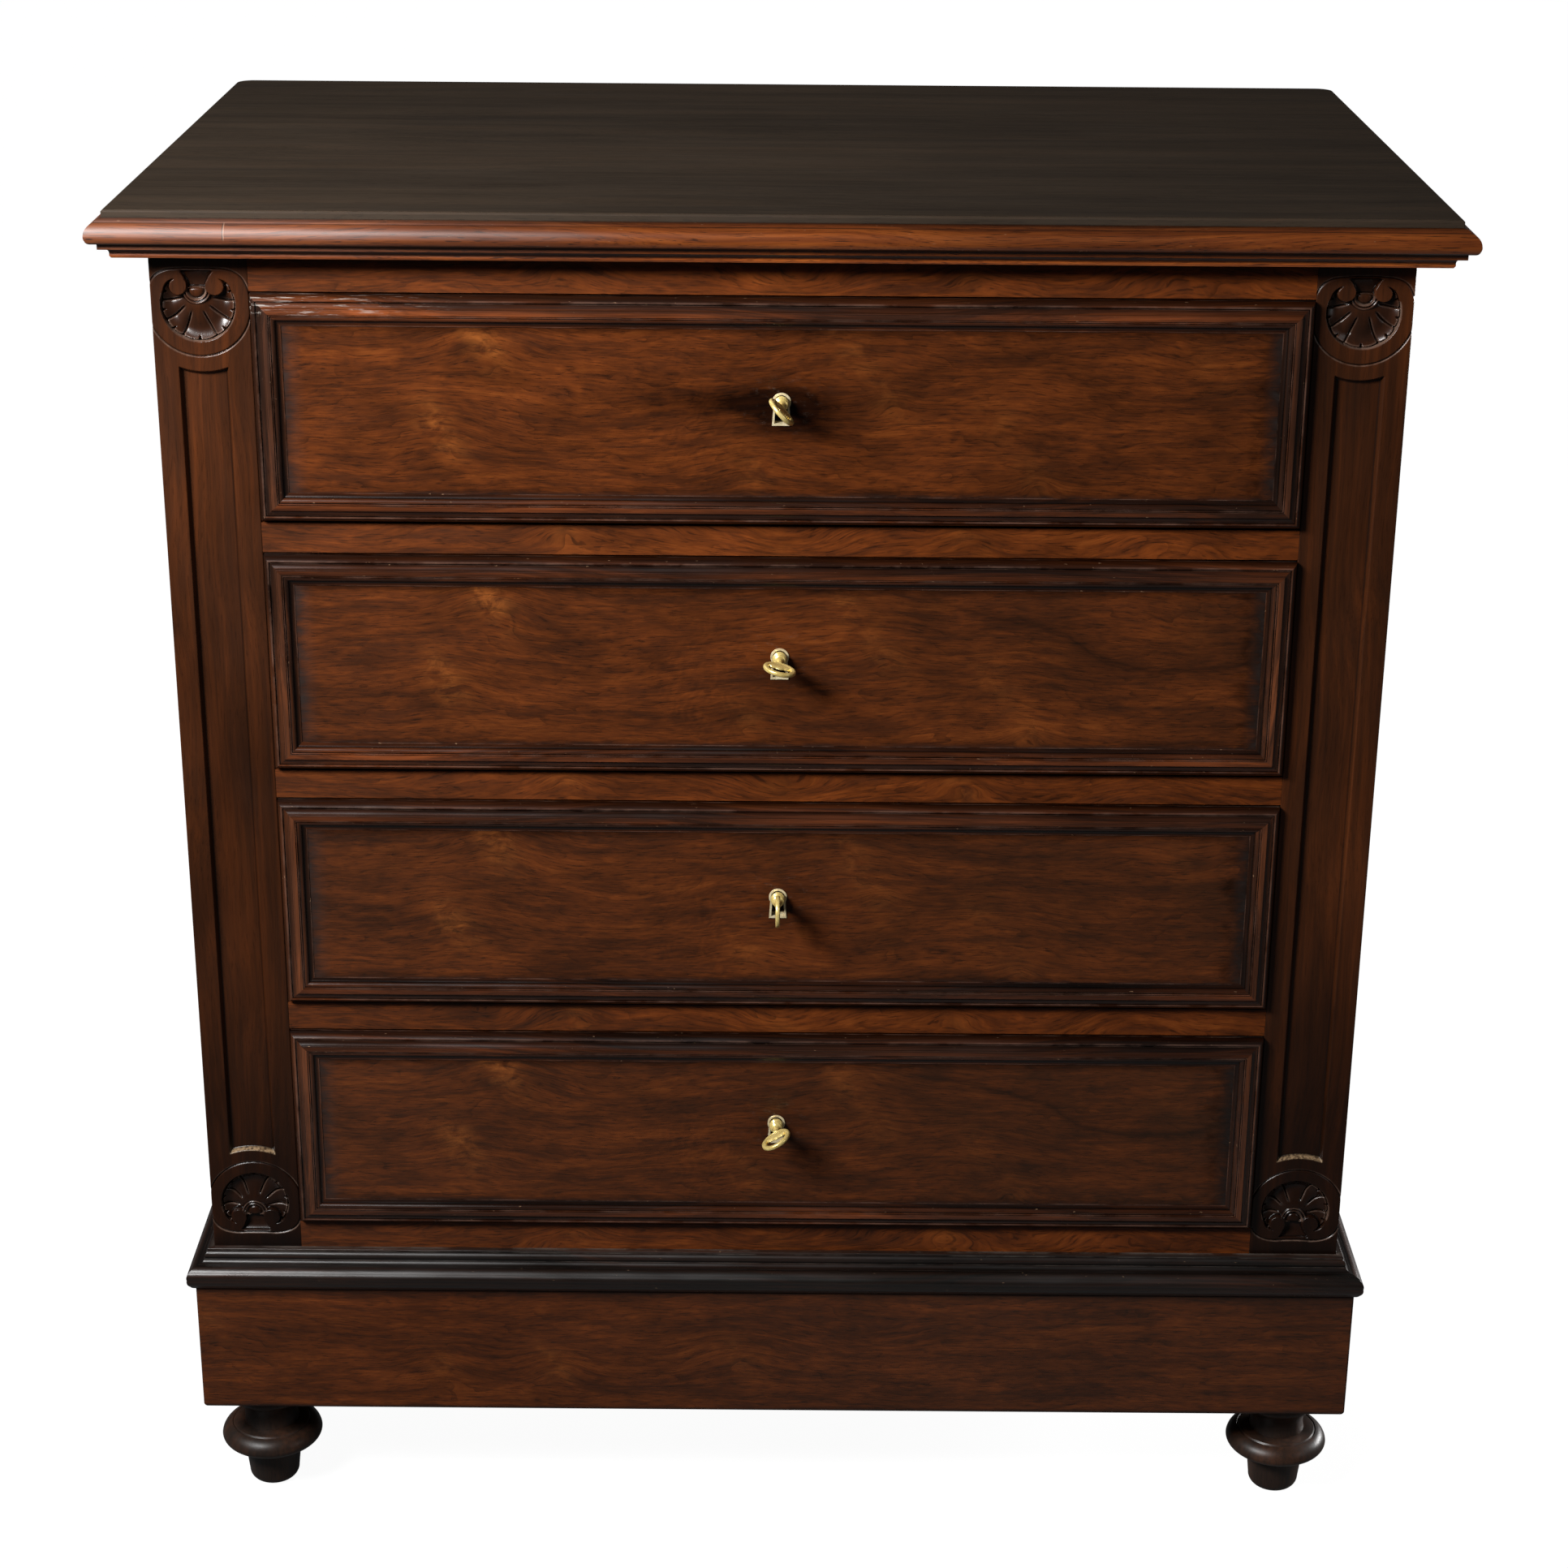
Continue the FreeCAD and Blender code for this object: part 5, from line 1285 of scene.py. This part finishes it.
def dress_carcass(woods, posts, bare, back):
    top = wood("top_wood", "x", TOP_COLOURS, streaks=34, contrast=1.1, roughness=0.60, specular=0.20,
               pore_depth=0.35, cloudiness=0.15, edge=0.0010, wear=0.3, wear_colour=RUSSET)
    side = wood("side_wood", "z", SIDE_COLOURS, shift=2.0, contrast=1.5, roughness=0.34, cloudiness=0.35)
    foot = wood("foot_wood", "z", FOOT_COLOURS, streaks=40, specular=0.32)
    boards = wood("board_wood", "x", BARE_COLOURS, shift=7.0, marks=board_tones, **BARE_LOOK)
    dress(("top_board",), top)
    dress(("side_left", "side_right"), side)
    dress(("pilaster_left", "pilaster_right"), posts)
    dress(("cornice_torus", "cornice_cove"), woods["cornice"][0])
    dress(("top_rail", "drawer_rail_1", "drawer_rail_2", "drawer_rail_3", "bottom_rail"),
          rail_veneer("rail_wood"))
    dress(("plinth",), plinth_veneer("plinth_wood"))
    dress(("plinth_moulding",), woods["base"][0])
    dress(("foot_front_left", "foot_front_right", "foot_rear_left", "foot_rear_right"), foot)
    dress(("back_boards",), boards)
    dress(("bottom_board",), back)
    dress(("drawer_runners", "drawer_guides", "drawer_stops", "corner_blocks"), bare)


def dress_drawers(woods, bare, back, brass, lining, iron):
    plan = {
        "front": veneer("veneer"), "frame": woods["frame"][0], "sides": bare, "back": back,
        "bottom": bare, "escutcheon": lining, "key": brass, "lock": iron, "bolt": iron,
    }
    for part, material in plan.items():
        dress(["drawer_%d_%s" % (number, part) for number in DRAWERS], material)


# Floor, world, lights and camera

# How much of the white that the camera sees a glossy ray sees: the studio round the chest was dark
GLOSSY_SHARE = 0.04
FLOOR_REACH = 30.0
FLOOR_ALBEDO = 0.10
# The paper's own white: a little under full near the chest, so that its shadow shows there, and full
# from the farther of two distances
FLOOR_NEAR = 0.955
FLOOR_FAR = 1.0
FLOOR_FADE = (0.5, 1.3)
ROOM_LIGHT = 0.03
# Key and fill for the front, and two low lamps that light only the right side and the back:
# place, target, size, power in watts, and spread in degrees
LAMPS = {
    "key_light": ((-1.42, FACE_Y - 1.32, 2.02), (-0.4, FACE_Y, 1.12), (0.9, 0.55), 34, 90),
    "fill_light": ((2.7, FACE_Y - 1.5, 1.5), (0.2, FACE_Y, 0.6), (0.8, 1.2), 6, 180),
    "right_light": ((2.4, 1.0, 0.75), (0.45, 0.05, 0.68), (1.2, 0.4), 15, 56),
    "back_light": ((0, 2.8, 0.72), (0, 0.3, 0.6), (0.7, 0.5), 40, 120),
}


def sees_white(g):
    """Share of white for a ray: all for the camera and through glass, a little for reflections."""
    path = g.node("LightPath")
    rays = ("Is Camera Ray", "Is Glossy Ray", "Is Transmission Ray")
    camera, glossy, through = (Wire(g, path.outputs[ray]) for ray in rays)
    return g.math("ADD", glossy * GLOSSY_SHARE + camera, through, clamp=True)


def make_floor():
    mesh = bpy.data.meshes.new("floor")
    corners = ((-1, -1), (1, -1), (1, 1), (-1, 1))
    mesh.from_pydata([(x * FLOOR_REACH, y * FLOOR_REACH, 0) for x, y in corners], [], [(0, 1, 2, 3)])
    floor = bpy.data.objects.new("floor", mesh)
    bpy.context.scene.collection.objects.link(floor)
    material, g = new_material("floor_paper")
    x, y, z = g.split(g.place())
    away = g.math("SQRT", x * x + y * y)
    white = sees_white(g) * g.span(away, *FLOOR_FADE, FLOOR_NEAR, FLOOR_FAR)
    paper = g.run("BsdfDiffuse", {"Color": (FLOOR_ALBEDO, FLOOR_ALBEDO, FLOOR_ALBEDO, 1)})
    glow = g.run("Emission", {"Strength": white})
    g.finish("OutputMaterial", g.run("AddShader", (paper, glow)))
    mesh.materials.append(material)


def make_world():
    world = bpy.data.worlds.new("studio")
    world.use_nodes = True
    bpy.context.scene.world = world
    g = Graph(world.node_tree)
    light = g.math("MAXIMUM", sees_white(g), ROOM_LIGHT)
    g.finish("OutputWorld", g.run("Background", {"Color": (1, 1, 1, 1), "Strength": light}))


def make_lights():
    for name, (place, target, size, power, spread) in LAMPS.items():
        data = bpy.data.lights.new(name, "AREA")
        data.shape = "RECTANGLE"
        data.size, data.size_y = size
        data.energy = power
        data.spread = math.radians(spread)
        light = bpy.data.objects.new(name, data)
        light.location = place
        light.visible_camera = False
        light.rotation_euler = (Vector(target) - Vector(place)).to_track_quat("-Z", "Y").to_euler()
        bpy.context.scene.collection.objects.link(light)


def make_camera():
    data = bpy.data.cameras.new("camera")
    data.sensor_fit = "HORIZONTAL"
    data.sensor_width = SENSOR
    data.lens = LENS
    camera = bpy.data.objects.new("camera", data)
    turn = Matrix.Rotation(math.radians(CAMERA_YAW), 4, "Z")
    tilt = Matrix.Rotation(math.radians(90 - CAMERA_PITCH), 4, "X")
    roll = Matrix.Rotation(math.radians(CAMERA_ROLL), 4, "Z")
    camera.matrix_world = Matrix.Translation(CAMERA_PLACE) @ turn @ tilt @ roll
    bpy.context.scene.collection.objects.link(camera)
    bpy.context.scene.camera = camera


make_camera()
mould_woods = make_woods()
post_wood = pilaster_wood("pilaster_wood")
bright_brass = metal("brass", (0.95, 0.74, 0.28), (0.74, 0.54, 0.17), 0.22, metallic=0.55)
rubbed_brass = metal("rubbed_brass", (0.86, 0.74, 0.48), (0.60, 0.48, 0.27), 0.28, metallic=0.45)
dark_iron = metal("iron", (0.12, 0.115, 0.11), (0.06, 0.055, 0.05), 0.42)
bare_wood = wood("bare_wood", "y", BARE_COLOURS, **BARE_LOOK)
back_wood = wood("back_wood", "x", BARE_COLOURS, shift=4.0, **BARE_LOOK)
dress_carcass(mould_woods, post_wood, bare_wood, back_wood)
dress_drawers(mould_woods, bare_wood, back_wood, bright_brass, rubbed_brass, dark_iron)
make_mouldings(mould_woods)
make_pilasters(post_wood)
make_keys(bright_brass, dark_iron)
make_floor()
make_world()
make_lights()
bpy.context.scene.view_settings.view_transform = "Standard"
